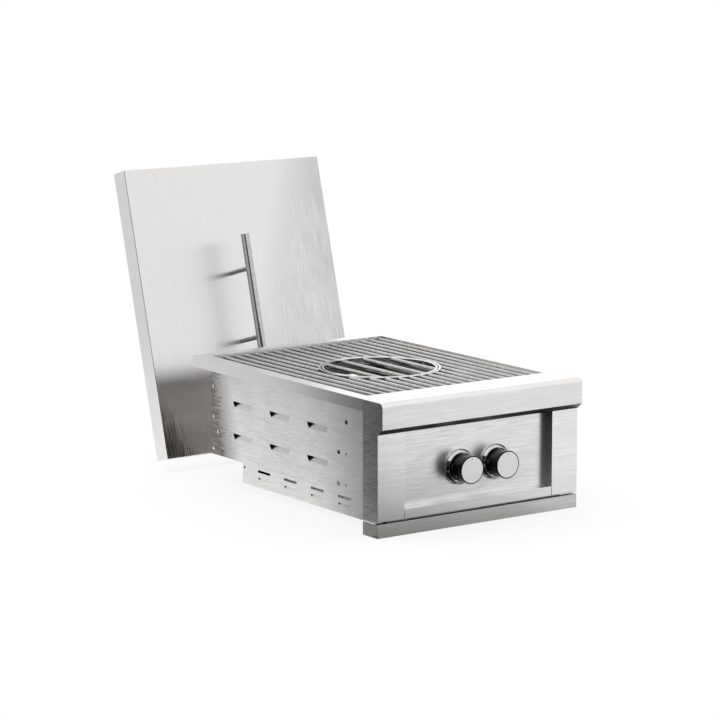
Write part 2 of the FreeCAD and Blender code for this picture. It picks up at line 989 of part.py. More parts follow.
def inlet_nut():
    start = vector(liner_out, inlet_back, manifold_height)
    end = start + vector(inlet_nut_height, 0, 0)
    return hexagon_bar(inlet_nut_flats, start, end).cut(rod(inlet_shoulder_radius, start, end))


def build_gas_train():
    add("gas_manifold", gas_manifold())
    add("gas_inlet_fitting", gas_inlet())
    add("inlet_lock_nut", inlet_nut())
    for side, place in knob_places.items():
        add(side + "_valve", valve(place))
        add(side + "_orifice", orifice(place))


# Knobs


def turned(place, outline):
    """Turn an outline of (distance in front of the panel, radius) about the valve's axis."""
    points = [
        vector(place + radius, panel_recess - ahead, valve_height) for ahead, radius in outline
    ]
    face = Part.Face(Part.makePolygon(points + [points[0]]))
    return face.revolve(vector(place, 0, valve_height), vector(0, 1, 0), 360)


def bezel(place):
    outline = [
        (0, bezel_hole),
        (0, bezel_outer),
        (bezel_height - bezel_round, bezel_outer),
        (bezel_height, bezel_outer - bezel_round),
        (bezel_height, bezel_inner),
        (bezel_base, bezel_inner),
        (bezel_base, bezel_hole),
    ]
    return turned(place, outline)


def knob_body(place):
    """Chromed knob: flange in the bezel, drawn-in waist, and a lip that holds the face disc."""
    flange_end = knob_gap + knob_flange_height
    face_back = knob_height - face_sheet

    def at(ahead, radius):
        return vector(place + radius, panel_recess - ahead, valve_height)

    corners = [
        (knob_hub_depth, 0),
        (knob_hub_depth, stem_radius + stem_gap),
        (knob_gap, stem_radius + stem_gap),
        (knob_gap, knob_flange_radius),
        (flange_end, knob_flange_radius),
        (knob_waist_start, knob_waist_radius),
        (knob_waist_end, knob_waist_radius),
    ]
    edges = [Part.makeLine(at(*a), at(*b)) for a, b in zip(corners, corners[1:])]
    flare = (knob_waist_end + knob_cap_start) / 2
    edges.append(
        Part.Arc(
            at(knob_waist_end, knob_waist_radius),
            at(flare, knob_waist_radius + knob_flare_bulge),
            at(knob_cap_start, knob_cap_radius)
        ).toShape()
    )
    rim = [
        (knob_cap_start, knob_cap_radius),
        (knob_height - knob_bevel, knob_cap_radius),
        (knob_height, knob_cap_radius - knob_bevel),
        (knob_height, knob_cap_radius - 2 * knob_bevel),
        (face_back, knob_cap_radius - 2 * knob_bevel),
        (face_back, 0),
        (knob_hub_depth, 0),
    ]
    edges.extend(Part.makeLine(at(*a), at(*b)) for a, b in zip(rim, rim[1:]))
    face = Part.Face(Part.Wire(edges))
    return face.revolve(vector(place, 0, valve_height), vector(0, 1, 0), 360)


def knob_face(place):
    """Brushed disc let into the knob, with one short index mark cut at the top."""
    radius = knob_cap_radius - 2 * knob_bevel - stem_gap
    outline = [
        (knob_height - face_sheet, 0),
        (knob_height - face_sheet, radius),
        (knob_height, radius),
        (knob_height, 0),
    ]
    disc = turned(place, outline)
    front = panel_recess - knob_height
    high = valve_height + radius - tick_inset
    mark = block(
        place - tick_width / 2, place + tick_width / 2, front, front + face_sheet / 2,
        high - tick_length, high
    )
    return disc.cut(mark)


def valve_stem(place):
    start = vector(place, panel_recess - knob_hub_depth, valve_height)
    end = vector(place, panel_back + stem_depth - knob_gap, valve_height)
    return rod(stem_radius, start, end)


def push_washer(place):
    start = vector(place, panel_recess - knob_gap, valve_height)
    end = start + vector(0, washer_sheet, 0)
    return tube(washer_radius, stem_radius + stem_gap, start, end)


def build_knobs():
    for side, place in knob_places.items():
        add(side + "_bezel", bezel(place))
        add(side + "_knob_body", knob_body(place))
        add(side + "_knob_face", knob_face(place))
        add(side + "_valve_stem", valve_stem(place))
        add(side + "_push_washer", push_washer(place))


# Drip tray


def tray_front():
    """Folded pull along the whole front, with returns round both sides."""
    high = tray_front_height
    front = block(-half_width, half_width, 0, sheet, 0, high)
    top = block(-half_width, half_width, 0, tray_lip, high - sheet, high)
    foot = block(-half_width, half_width, 0, tray_lip, 0, sheet)
    pieces = [front, top, foot]
    for side in (-1, 1):
        x0, x1 = sorted((side * cap_in, side * half_width))
        pieces.append(block(x0, x1, 0, cap_depth, 0, high))
    return joined(pieces)


def tray_pan():
    """Shallow open pan on the runners; its front wall is fixed to the pull's top fold."""
    half = liner_in - tray_side_gap
    front = tray_lip
    back = vent_box_back - liner_sheet - tray_back_gap
    low = runner_top
    high = fascia_bottom - tray_rim_gap
    outside = block(-half, half, front, back, low, high)
    wall = liner_sheet
    inside = block(-half + wall, half - wall, front + wall, back - wall, low + wall, high)
    return outside.cut(inside)


def tray_runners():
    half = liner_in - runner_inset
    strips = []
    for side in (-1, 1):
        x0, x1 = sorted((side * half, side * (half - runner_width)))
        low = vent_box_bottom + liner_sheet
        strips.append(
            block(x0, x1, panel_back, vent_box_back - liner_sheet, low, runner_top)
        )
    return Part.makeCompound(strips)


def build_tray():
    add("tray_front", tray_front())
    add("tray_pan", tray_pan())
    add("tray_runners", tray_runners())


# Lid. It is drawn standing upright with its face at y = 0, then leaned back and put in place.


def lean(shape):
    shape.rotate(vector(0, 0, 0), vector(1, 0, 0), -lid_lean)
    shape.translate(vector(0, deck_back + lid_foot_gap, lid_foot_height))
    return shape


def lid_shell():
    outside = block(-lid_half, lid_half, 0, lid_skirt, 0, lid_length)
    inner_half = lid_half - sheet
    inside = block(-inner_half, inner_half, sheet, lid_skirt, sheet, lid_length - sheet)
    return lean(outside.cut(inside))


def handle_post_heights():
    half = handle_post_spacing / 2
    return (handle_middle - half, handle_middle + half)


def handle_bar():
    half = handle_length / 2
    start = vector(handle_side, -handle_standoff, handle_middle - half)
    end = vector(handle_side, -handle_standoff, handle_middle + half)
    return lean(rod(handle_radius, start, end))


def handle_posts():
    bar = rod(
        handle_radius,
        vector(handle_side, -handle_standoff, 0),
        vector(handle_side, -handle_standoff, lid_length)
    )
    posts = []
    for height in handle_post_heights():
        start = vector(handle_side, 0, height)
        full = rod(handle_post_radius, start, start - vector(0, handle_standoff, 0))
        posts.append(full.cut(bar))
    return lean(Part.makeCompound(posts))


def handle_screws():
    heads = []
    for height in handle_post_heights():
        start = vector(handle_side, sheet, height)
        head = rod(handle_screw_radius, start, start + vector(0, handle_screw_height, 0))
        heads.append(head)
    return lean(Part.makeCompound(heads))


def build_lid():
    add("lid_shell", lid_shell())
    add("lid_handle_bar", handle_bar())
    add("lid_handle_posts", handle_posts())
    add("lid_handle_screws", handle_screws())


def main():
    build_deck_and_fascia()
    build_liner()
    build_grate()
    build_burners()
    build_gas_train()
    build_knobs()
    build_tray()
    build_lid()
    os.makedirs("parts", exist_ok=True)
    origin = vector(0, deck_back - flange_width / 2, counter_height)
    for name, shape in nodes.items():
        shape.translate(-origin)
        shape.exportStep("parts/" + name + ".step")


main()
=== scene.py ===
"""The finished looks of a built-in gas side burner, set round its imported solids.

Everything is in metres in the row frame: x to the right, y from the knobs to the back, z up, with
the origin in the middle of the rear counter flange.
"""

import logging
import math
from dataclasses import dataclass, field
from enum import Enum
from typing import Any, Callable, ClassVar, Iterable

import bmesh
import bpy
import numpy as np
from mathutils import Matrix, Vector


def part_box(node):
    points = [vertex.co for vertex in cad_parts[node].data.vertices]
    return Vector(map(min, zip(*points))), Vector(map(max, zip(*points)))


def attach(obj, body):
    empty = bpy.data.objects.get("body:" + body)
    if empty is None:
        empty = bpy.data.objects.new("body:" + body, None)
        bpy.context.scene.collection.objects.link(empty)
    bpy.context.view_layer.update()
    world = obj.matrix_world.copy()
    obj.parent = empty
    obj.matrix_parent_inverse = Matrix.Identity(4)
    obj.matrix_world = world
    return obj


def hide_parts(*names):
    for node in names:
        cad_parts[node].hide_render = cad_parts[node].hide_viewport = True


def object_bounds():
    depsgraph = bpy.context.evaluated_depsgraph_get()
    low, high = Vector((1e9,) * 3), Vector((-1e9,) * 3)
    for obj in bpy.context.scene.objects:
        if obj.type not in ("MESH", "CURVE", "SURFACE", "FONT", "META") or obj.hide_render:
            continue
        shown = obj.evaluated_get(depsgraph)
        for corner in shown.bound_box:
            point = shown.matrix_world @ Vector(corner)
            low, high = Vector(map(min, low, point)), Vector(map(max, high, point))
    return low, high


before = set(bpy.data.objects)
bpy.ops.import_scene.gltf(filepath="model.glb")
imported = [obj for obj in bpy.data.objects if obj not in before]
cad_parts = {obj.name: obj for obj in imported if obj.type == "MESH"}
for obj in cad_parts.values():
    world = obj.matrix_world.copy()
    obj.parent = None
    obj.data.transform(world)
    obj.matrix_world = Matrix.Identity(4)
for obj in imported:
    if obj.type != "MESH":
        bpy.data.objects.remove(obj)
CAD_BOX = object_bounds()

MM = 0.001
FULL_TURN = 2.0 * math.pi
WHITE = "#FFFFFF"
# How far the lid leans back from upright.
LEAN = math.radians(15.35)
# Points nearer than this are merged, in a new surface and in a copy of a CAD node.
SAME_POINT = 1e-7
SAME_CORNER = 1e-6
# The most of a run between two corners that one rounding takes up.
LARGEST_SETBACK = 0.45
# The weight at which the largest face alone gives a corner its shading.
FULL_WEIGHT = 100
log = logging.getLogger("side_burner")


def low_corner(node: str) -> np.ndarray:
    """Returns the lowest corner of a CAD node."""
    return np.array(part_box(node)[0])


def high_corner(node: str) -> np.ndarray:
    """Returns the highest corner of a CAD node."""
    return np.array(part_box(node)[1])


def middle(node: str) -> np.ndarray:
    """Returns the middle of a CAD node's box."""
    return (low_corner(node) + high_corner(node)) / 2


def linear(colour: str) -> tuple[float, float, float, float]:
    """Turns an sRGB hex colour into linear light.

    Args:
        colour: Six hex digits after a hash sign.

    Returns:
        Red, green, blue and an alpha of 1.
    """
    channels = np.array([int(colour[i : i + 2], 16) for i in (1, 3, 5)]) / 255
    light = np.where(channels <= 0.04045, channels / 12.92, ((channels + 0.055) / 1.055) ** 2.4)
    return (*light.tolist(), 1.0)


def feed(tree: Any, socket: Any, value: Any) -> None:
    """Gives an input socket its value or its link.

    Args:
        tree: The node tree.
        socket: The input socket.
        value: A value, an output socket, a node whose first output in use feeds the socket, or
            None where the socket stays as it is.
    """
    if isinstance(value, bpy.types.Node):
        value = next(output for output in value.outputs if output.enabled)
    if isinstance(value, bpy.types.NodeSocket):
        tree.links.new(value, socket)
    elif value is not None:
        socket.default_value = value


def add_node(tree: Any, kind: str, *inputs: Any, **settings: Any) -> Any:
    """Adds one shader node.

    Args:
        tree: The node tree.
        kind: Blender's name for the node, after the word ShaderNode.
        *inputs: What feeds each of its sockets in use, in order.
        **settings: The node's own properties.

    Returns:
        The new node.
    """
    node = tree.nodes.new("ShaderNode" + kind)
    for name, value in settings.items():
        setattr(node, name, value)
    for socket, value in zip([socket for socket in node.inputs if socket.enabled], inputs):
        feed(tree, socket, value)
    return node


def new_material(name: str, dress: Callable[[Any, Any], None]) -> bpy.types.Material:
    """Makes a material once, or returns the one of that name.

    Args:
        name: The material's name.
        dress: Adds the finish's nodes, given the tree and the principled shader.

    Returns:
        The material.
    """
    found = bpy.data.materials.get(name)
    if found:
        return found
    made = bpy.data.materials.new(name)
    made.use_nodes = True
    dress(made.node_tree, made.node_tree.nodes["Principled BSDF"])
    return made


class Grain(Enum):
    """Which way the belt ran over a sheet, as the tangent along which it pulls highlights out."""

    LEVEL = (0.0, 0.05, 1.0)
    UP_THE_LID = (1.0, 0.0, 0.0)


class Way(Enum):
    """Which way a face looks, as its unit normal."""

    UP = (0.0, 0.0, 1.0)
    DOWN = (0.0, 0.0, -1.0)
    LEFT = (-1.0, 0.0, 0.0)
    FRONT = (0.0, -1.0, 0.0)
    POST_EDGE = (-0.707, -0.707, 0.0)
    LID_FOLD = (-0.707, -0.682, 0.187)


@dataclass(frozen=True)
class Sheet:
    """The nodes that every layer on a brushed sheet reads."""

    tree: Any
    spot: Any
    streaks: Any

    def along(self, way: tuple[float, float, float]) -> Any:
        """Returns the node with each point's distance along a direction."""
        return add_node(
            self.tree, "VectorMath", self.spot.outputs["Object"], way, operation="DOT_PRODUCT"
        )

    def faces(self, way: Way, limit: float) -> Any:
        """Returns the node that is 1 where the normal lies along a way by more than a limit."""
        facing = add_node(
            self.tree, "VectorMath", self.spot.outputs["Normal"], way.value, operation="DOT_PRODUCT"
        )
        return add_node(self.tree, "Math", facing, limit, operation="GREATER_THAN")

    def marks(self, level: Any, edge: float, most: float = 1.0) -> Any:
        """Returns the node with the marks where the streaks rise above a level.

        Args:
            level: The node with the level.
            edge: How far above it a mark is full.
            most: What a full mark gives.
        """
        above = add_node(self.tree, "Math", self.streaks, level, operation="SUBTRACT")
        return add_node(self.tree, "MapRange", above, 0.0, edge, 0.0, most)


@dataclass(frozen=True)
class Layer:
    """A tint that some parts of a brushed sheet show over its own colour."""

    tint: str
    blend: ClassVar[str] = "MIX"

    def share(self, sheet: Sheet) -> Any:
        """Returns the node that says how much of the tint each point shows."""
        raise NotImplementedError


@dataclass(frozen=True)
class PaintedFaceShade(Layer):
    """Faces that look one way, painted darker as shade: their colour is multiplied by the tint."""

    way: Way
    limit: float
    blend: ClassVar[str] = "MULTIPLY"

    def share(self, sheet: Sheet) -> Any:
        """Returns the node that is 1 on those faces."""
        return sheet.faces(self.way, self.limit)


@dataclass(frozen=True)
class RearStreaksAndShade(Layer):
    """Dark streaks, dense at the rear edge and the foot, over a painted shade that fades to the
    front.

    A mark shows where the streaks rise above a level, which falls from the first to the second.
    """

    start: float = -85 * MM
    way: tuple[float, float, float] = (0.0, 1.0, -0.25)
    marks_over: float = 80 * MM
    levels: tuple[float, float] = (0.74, 0.38)
    edge: float = 0.10
    shade_over: float = 70 * MM
    shade: float = 0.75

    def share(self, sheet: Sheet) -> Any:
        """Returns the node with the dark streaks or the painted shade, whichever is more.

        Args:
            sheet: The sheet's nodes.
        """
        tree, start, rearward = sheet.tree, self.start, sheet.along(self.way)
        level = add_node(tree, "MapRange", rearward, start, start + self.marks_over, *self.levels)
        full = start + self.shade_over
        shade = add_node(tree, "MapRange", rearward, start, full, 0.0, self.shade)
        return add_node(tree, "Math", sheet.marks(level, self.edge), shade, operation="MAXIMUM")


@dataclass(frozen=True)
class PaintedCornerShade(Layer):
    """Dark streaks painted on a sheet's front, thickest in its lower left corner, as painted shade
    for the dark reflection there.

    Like the rear streaks they show where the streaks rise above a level, which falls from the first
    to the second along their way.
    """

    start: float = 200 * MM
    end: float = 330 * MM
    way: tuple[float, float, float] = (-1.0, 0.0, -0.6)
    levels: tuple[float, float] = (0.9, 0.25)
    edge: float = 0.25
    most: float = 0.85
    front_limit: float = 0.9

    def share(self, sheet: Sheet) -> Any:
        """Returns the node with the painted dark streaks, on the face that looks to the front.

        Args:
            sheet: The sheet's nodes.
        """
        cornered = sheet.along(self.way)
        level = add_node(sheet.tree, "MapRange", cornered, self.start, self.end, *self.levels)
        painted_streaks = sheet.marks(level, self.edge, self.most)
        on_face = sheet.faces(Way.FRONT, self.front_limit)
        return add_node(sheet.tree, "Math", painted_streaks, on_face, operation="MULTIPLY")


@dataclass(frozen=True)
class Finish:
    """What a surface is made of and how it was worked."""

    name: str
    light: str
    dark: str
    roughness: float

    def dress(self, tree: Any, shader: Any) -> None:
        """Adds the finish's nodes.

        Args:
            tree: The node tree.
            shader: The principled shader.
        """
        raise NotImplementedError

    def colour(self, tree: Any, level: Any) -> Any:
        """Returns the node with the colour between dark and light.

        Args:
            tree: The node tree.
            level: The node that is 0 where it is dark and 1 where it is light.
        """
        return add_node(tree, "Mix", level, linear(self.dark), linear(self.light), data_type="RGBA")

    def fill(self, tree: Any, shader: Any, values: dict[str, Any]) -> None:
        """Feeds the shader's sockets, by name."""
        for name, value in values.items():
            feed(tree, shader.inputs[name], value)

    def material(self) -> bpy.types.Material:
        """Returns the finish's material."""
        return new_material(self.name, self.dress)


@dataclass(frozen=True)
class BrushedSteel(Finish):
    """Stainless steel sheet, AISI 304, rubbed one way with an abrasive belt.

    The eye sees long level streaks of lighter and darker metal, and reflections that are soft and
    pulled out across the streaks. A real line is 0.1 mm wide, which doesn't show, so the streaks
    here are the coarser ones that a worn belt leaves. Where marks_from is set, the streaks grow
    from plain metal there, to the right and to the foot of the sheet, and the darkening that comes
    with them there is partly painted shade.
    """

    roughness: float = 0.30
    grain: Grain = Grain.LEVEL
    streak_length: float = 70 * MM
    streak_width: float = 1.4 * MM
    streak_detail: float = 4.0
    streak_fineness: float = 0.65
    cloud: float = 160 * MM
    cloud_detail: float = 2.0
    cloud_share: float = 0.3
    tones: tuple[float, float] = (0.3, 0.65)
    glosses: tuple[float, float] = (0.3, 0.7)
    duller: float = 0.06
    glossier: float = 0.04
    line_strength: float = 0.06
    line_depth: float = 0.2 * MM
    pull: float = 0.8
    metallic: float = 1.0
    side_limit: float = 0.7
    marks_from: float | None = None
    marks_over: float = 160 * MM
    marks_way: tuple[float, float, float] = (1.0, 0.0, -0.35)
    layers: tuple[Layer, ...] = ()
    pressed: bool = False
    slope_height: float = 0.66
    slope_range: float = 0.2
    slope_left: float = 0.15

    def streaks(self, tree: Any, spot: Any) -> Any:
        """Returns the node with the streaks, which run level round the corners or up the lid.

        Args:
            tree: The node tree.
            spot: The texture coordinate node.
        """
        long, thin = self.streak_length, self.streak_width
        upright = self.grain is Grain.UP_THE_LID
        turn = (-LEAN if upright else 0.0, 0.0, 0.0)
        sizes = [(thin, thin, long)] if upright else [(long, thin, thin), (thin, long, thin)]
        where = spot.outputs["Object"]
        ways = [
            add_node(tree, "Mapping", where, None, turn, size, vector_type="TEXTURE")
            for size in sizes
        ]
        place = ways[0]
        if not upright:
            sides = add_node(tree, "SeparateXYZ", spot.outputs["Normal"])
            facing = add_node(tree, "Math", sides, operation="ABSOLUTE")
            sideways = add_node(tree, "Math", facing, self.side_limit, operation="GREATER_THAN")
            place = add_node(tree, "Mix", sideways, *ways, data_type="VECTOR")
        return add_node(tree, "TexNoise", place, 1.0, self.streak_detail, self.streak_fineness)

    def spread(self, sheet: Sheet) -> Any:
        """Returns the node with the tone, from 0 for dark to 1 for light: streaks over soft clouds.

        Args:
            sheet: The sheet's nodes.
        """
        tree = sheet.tree
        cloud = add_node(
            tree, "TexNoise", sheet.spot.outputs["Object"], 1 / self.cloud, self.cloud_detail
        )
        lines = add_node(tree, "Math", sheet.streaks, 1 - self.cloud_share, operation="MULTIPLY")
        tone = add_node(tree, "Math", cloud, self.cloud_share, lines, operation="MULTIPLY_ADD")
        spread = add_node(tree, "MapRange", tone, *self.tones)
        if self.marks_from is None:
            return spread
        # Plain metal before marks_from and streaks after it, which darkens the sheet there, partly
        # as painted shade.
        plain = add_node(
            tree, "MapRange", sheet.along(self.marks_way), self.marks_from,
            self.marks_from + self.marks_over, 1.0, 0.0,
        )
        return add_node(tree, "Math", spread, plain, operation="MAXIMUM")

    def flattened(self, tree: Any, spot: Any) -> Any:
        """Returns the node with the normals, those of pressed slopes laid nearly flat.

        The press draws a slope out of the sheet in a soft curve, so that most of it shines like the
        sheet round it.

        Args:
            tree: The node tree.
            spot: The texture coordinate node.
        """
        normal = spot.outputs["Normal"]
        height = add_node(tree, "SeparateXYZ", normal).outputs["Z"]
        slope = add_node(
            tree, "Math", height, self.slope_height, self.slope_range, operation="COMPARE"
        )
        flat = add_node(
            tree, "VectorMath", normal, (1.0, 1.0, self.slope_left), operation="MULTIPLY"
        )
        chosen = add_node(tree, "Mix", slope, normal, flat, data_type="VECTOR")
        return add_node(tree, "VectorMath", chosen, operation="NORMALIZE")

    def dress(self, tree: Any, shader: Any) -> None:
        """Adds the tone, the layers over it, the gloss and the fine lines.

        Args:
            tree: The node tree.
            shader: The principled shader.
        """
        spot = add_node(tree, "TexCoord")
        sheet = Sheet(tree, spot, self.streaks(tree, spot))
        colour = self.colour(tree, self.spread(sheet))
        # Each layer paints shade or dark streaks over the tone.
        for layer in self.layers:
            colour = add_node(
                tree, "Mix", layer.share(sheet), colour, linear(layer.tint), data_type="RGBA",
                blend_type=layer.blend,
            )
        rough = add_node(
            tree, "MapRange", sheet.streaks, *self.glosses, self.roughness + self.duller,
            self.roughness - self.glossier,
        )
        normal = self.flattened(tree, spot) if self.pressed else None
        lines = add_node(
            tree, "Bump", self.line_strength, self.line_depth, None, sheet.streaks, normal
        )
        self.fill(tree, shader, {
            "Metallic": self.metallic, "Base Color": colour, "Roughness": rough, "Normal": lines,
            "Anisotropic": self.pull, "Tangent": add_node(tree, "CombineXYZ", *self.grain.value),
        })


@dataclass(frozen=True)
class SmoothMetal(Finish):
    """Metal that was drawn, plated or machined smooth, with faint marks of handling.

    The eye sees clear reflections, a little softer in patches a few millimetres wide.
    """

    patch: float = 9 * MM
    swing: float = 0.05
    detail: float = 3.0
    tones: tuple[float, float] = (0.35, 0.65)
    glosses: tuple[float, float] = (0.3, 0.7)

    def dress(self, tree: Any, shader: Any) -> None:
        """Adds patches that shift the colour and the gloss.

        Args:
            tree: The node tree.
            shader: The principled shader.
        """
        spot = add_node(tree, "TexCoord")
        patches = add_node(tree, "TexNoise", spot.outputs["Object"], 1 / self.patch, self.detail)
        colour = self.colour(tree, add_node(tree, "MapRange", patches, *self.tones))
        rough = add_node(
            tree, "MapRange", patches, *self.glosses, self.roughness + self.swing, self.roughness
        )
        self.fill(tree, shader, {"Metallic": 1.0, "Base Color": colour, "Roughness": rough})


@dataclass(frozen=True)
class RoughBody(Finish):
    """Cast or fired stuff with a grainy skin, such as sand-cast iron or glazed ceramic.

    The eye sees a dull surface with fine pits and no clear reflection.
    """

    metallic: float
    pit: float
    depth: float = 0.15 * MM
    strength: float = 0.4
    detail: float = 5.0

    def dress(self, tree: Any, shader: Any) -> None:
        """Adds the pits and the change of tone that goes with them.

        Args:
            tree: The node tree.
            shader: The principled shader.
        """
        spot = add_node(tree, "TexCoord")
        pits = add_node(tree, "TexNoise", spot.outputs["Object"], 1 / self.pit, self.detail)
        self.fill(tree, shader, {
            "Metallic": self.metallic, "Base Color": self.colour(tree, pits),
            "Roughness": self.roughness,
            "Normal": add_node(tree, "Bump", self.strength, self.depth, None, pits),
        })


# A pale, even satin, with painted shade: the underside of its folds is painted half as bright, and
# its top and the faces that look left a touch darker.
DECK_STEEL = BrushedSteel(
    "brushed_stainless_deck", "#F7F6F4", "#EBEAE8",
    layers=(
        PaintedFaceShade("#7C7C7C", Way.DOWN, 0.3), PaintedFaceShade("#EEEEEE", Way.UP, 0.9),
        PaintedFaceShade("#EFEFEF", Way.LEFT, 0.7),
    ),
)
# The same satin with coarser lines. The turned-in sides and the edge before them are painted grey,
# as painted shade.
FASCIA_STEEL = BrushedSteel(
    "brushed_stainless_fascia", "#F9F8F6", "#E9E8E6", streak_width=2 * MM, pull=0.5,
    layers=(PaintedFaceShade("#ABABAB", Way.LEFT, 0.85), PaintedFaceShade("#5A5A5A", Way.POST_EDGE, 0.9)),
)
# Short strong strokes, from light to mid grey, as where a small sheet was rubbed by hand.
CHEEK_STEEL = BrushedSteel(
    "brushed_stainless_cheek", "#F4F3F1", "#8E8D8A", streak_length=30 * MM, streak_width=2.4 * MM
)
# Pale with clear level lines behind the knobs.
PANEL_STEEL = BrushedSteel(
    "brushed_stainless_panel", "#F9F8F6", "#DAD9D7", streak_length=50 * MM, streak_width=2.2 * MM,
    pull=0.5,
)
# Duller and shorter lines, with dark streaks over a painted shade that grow to the rear, and the
# louvres' mouths painted near black as shade.
SIDE_STEEL = BrushedSteel(
    "brushed_stainless_side", "#EBEAE8", "#CBCAC8", 0.34, streak_length=30 * MM,
    streak_width=2.2 * MM, layers=(RearStreaksAndShade("#6E6C69"), PaintedFaceShade("#131313", Way.FRONT, 0.5)),
    pressed=True,
)
# The same sheet without the dark streaks and painted shade at the rear; the louvres' mouths are
# painted near black as shade.
BOX_STEEL = BrushedSteel(
    "brushed_stainless_box", "#E9E8E6", "#D4D3D1", 0.34, streak_length=26 * MM,
    streak_width=2.2 * MM, layers=(PaintedFaceShade("#131313", Way.FRONT, 0.5),), pressed=True,
)
# Plain short lines on sheets that nobody sees much of.
LINER_STEEL = BrushedSteel(
    "brushed_stainless_liner", "#E8E7E5", "#D4D3D1", 0.34, streak_length=30 * MM
)
# Heat leaves an oxide skin that takes half of the metal's shine.
WELL_STEEL = BrushedSteel("heat_dulled_stainless_well", "#DEDCD8", "#C2BFBB", 0.4, metallic=0.5)
# A warm grey, darker than the other sheets: painted shade for the gap between the burner and the
# lid.
REAR_STEEL = BrushedSteel("stainless_rear_painted_shade", "#ADA79F", "#8B857E", 0.36)
# Satin with its top edge painted dark, as painted shade for the shadow gap under the box.
TRAY_STEEL = BrushedSteel(
    "brushed_stainless_tray", "#EAE9E7", "#CBCAC8", streak_width=2 * MM,
    layers=(PaintedFaceShade("#303030", Way.UP, 0.7),),
)
# Lines up the sheet that grow to the right and the foot and darken it there, partly as painted
# shade; dark streaks painted low on the left as shade for the dark reflection there; and a fold
# painted dark as shade.
LID_STEEL = BrushedSteel(
    "brushed_stainless_lid", "#EAE9E8", "#BBBAB9", grain=Grain.UP_THE_LID, streak_width=1.6 * MM,
    marks_from=0.0, layers=(PaintedCornerShade("#2B2927"), PaintedFaceShade("#4A4A4A", Way.LID_FOLD, 0.9)),
)
# Fine short lines across the knobs' bright discs.
FACE_STEEL = BrushedSteel(
    "brushed_knob_disc", "#F8F7F5", "#ECEBE9", 0.34, streak_length=20 * MM, streak_width=0.8 * MM
)
# Drawn through a die: bright, with long clear highlights.
ROD_STEEL = SmoothMetal("drawn_stainless_rod", "#CBCAC8", "#B4B3B1", 0.10)
# Rolled flat: a grey shine without images in it.
BAR_STEEL = SmoothMetal("flat_stainless_bar", "#BDBCBA", "#9A9998", 0.32)
# Polished tube: sharp reflections in a light grey.
HANDLE_STEEL = SmoothMetal("polished_stainless_handle", "#C6C5C3", "#B7B6B4", 0.08, swing=0.03)
# Plated zinc: a clear, faintly blue mirror.
CHROME = SmoothMetal("chromed_zinc", "#D6D7D8", "#C9CACB", 0.07, swing=0.02)
# Black plated zinc: the same mirror, dark as smoked glass.
DARK_CHROME = SmoothMetal("black_chromed_zinc", "#37383A", "#2F3032", 0.08, swing=0.02)
# Zinc on a pressed head: a pale satin gleam.
SCREW_STEEL = SmoothMetal("zinc_plated_screw", "#E2E3E4", "#C5C6C8", 0.25, patch=3 * MM)
# Aluminised tube: soft grey metal.
TUBE_STEEL = SmoothMetal("aluminised_steel_tube", "#A9A8A6", "#868583", 0.38)
# Machined brass: yellow with soft highlights.
BRASS = SmoothMetal("machined_brass", "#C9A25A", "#A9823E", 0.26)
# Wire that has glowed: brown grey and dull.
WIRE_STEEL = SmoothMetal("heat_proof_electrode_wire", "#8F8A84", "#6B6660", 0.4, patch=2 * MM)
# Sand-cast iron under heat-proof silver enamel: light grey with fine pits.
CAST_IRON = RoughBody("silver_enamelled_cast_iron", "#D2D0CC", "#B4B1AD", 0.5, 0.1, 1.5 * MM)
# Glazed alumina: cream white with a soft gloss.
CERAMIC = RoughBody("glazed_alumina_insulator", "#F0ECE2", "#DDD8CC", 0.3, 0.0, 2 * MM, 0.03 * MM)
# Enamel wiped into the cut mark: matt black.
INK = RoughBody("black_filled_mark", "#222222", "#111111", 0.5, 0.0, 1 * MM, 0.02 * MM)


def softened(corners: np.ndarray, radius: float | np.ndarray, steps: int = 5) -> np.ndarray:
    """Rounds the inner corners of an open outline.

    Each corner C gives way to a curve from A, a setback before it, to B, as far after it:
    (1 - t)^2 A + 2 t (1 - t) C + t^2 B with t from 0 to 1.

    Args:
        corners: The outline's corners, one a row.
        radius: The setback, for all corners or for each inner one.
        steps: Points on each curve.

    Returns:
        The points of the rounded outline.
    """
    corners = np.asarray(corners, float)
    before, at, after = corners[:-2], corners[1:-1], corners[2:]
    back = before - at
    ahead = after - at
    back_length = np.linalg.norm(back, axis=1, keepdims=True)
    ahead_length = np.linalg.norm(ahead, axis=1, keepdims=True)
    setback = np.broadcast_to(np.asarray(radius, float).reshape(-1, 1), (len(at), 1))
    setback = np.minimum(setback, LARGEST_SETBACK * np.minimum(back_length, ahead_length))
    start = at + back / back_length * setback
    end = at + ahead / ahead_length * setback
    t = np.linspace(0, 1, steps)[None, :, None]
    curves = (1 - t) ** 2 * start[:, None] + 2 * t * (1 - t) * at[:, None] + t**2 * end[:, None]
    return np.vstack([corners[:1], curves.reshape(-1, corners.shape[1]), corners[-1:]])


def turned(profile: np.ndarray, origin: np.ndarray, axis: np.ndarray, sides: int) -> np.ndarray:
    """Turns a profile about an axis.

    A point at distance d along the axis and radius r goes to origin + d * axis + r * (cos a * e +
    sin a * g), where e and g are square to the axis and a runs round it.

    Args:
        profile: Rows of distance and radius.
        origin: Where distance is 0.
        axis: The axis's direction.
        sides: Steps round the axis.

    Returns:
        A grid of points, profile by angle.
    """
    axis = np.asarray(axis, float) / np.linalg.norm(axis)
    other = np.array([1.0, 0, 0]) if abs(axis[0]) < 0.9 else np.array([0, 1.0, 0])
    e = np.cross(axis, other)
    e /= np.linalg.norm(e)
    g = np.cross(axis, e)
    angle = np.arange(sides) * FULL_TURN / sides
    round_it = np.cos(angle)[:, None] * e + np.sin(angle)[:, None] * g
    distance, radius = profile[:, 0], profile[:, 1]
    return origin + distance[:, None, None] * axis + radius[:, None, None] * round_it[None]


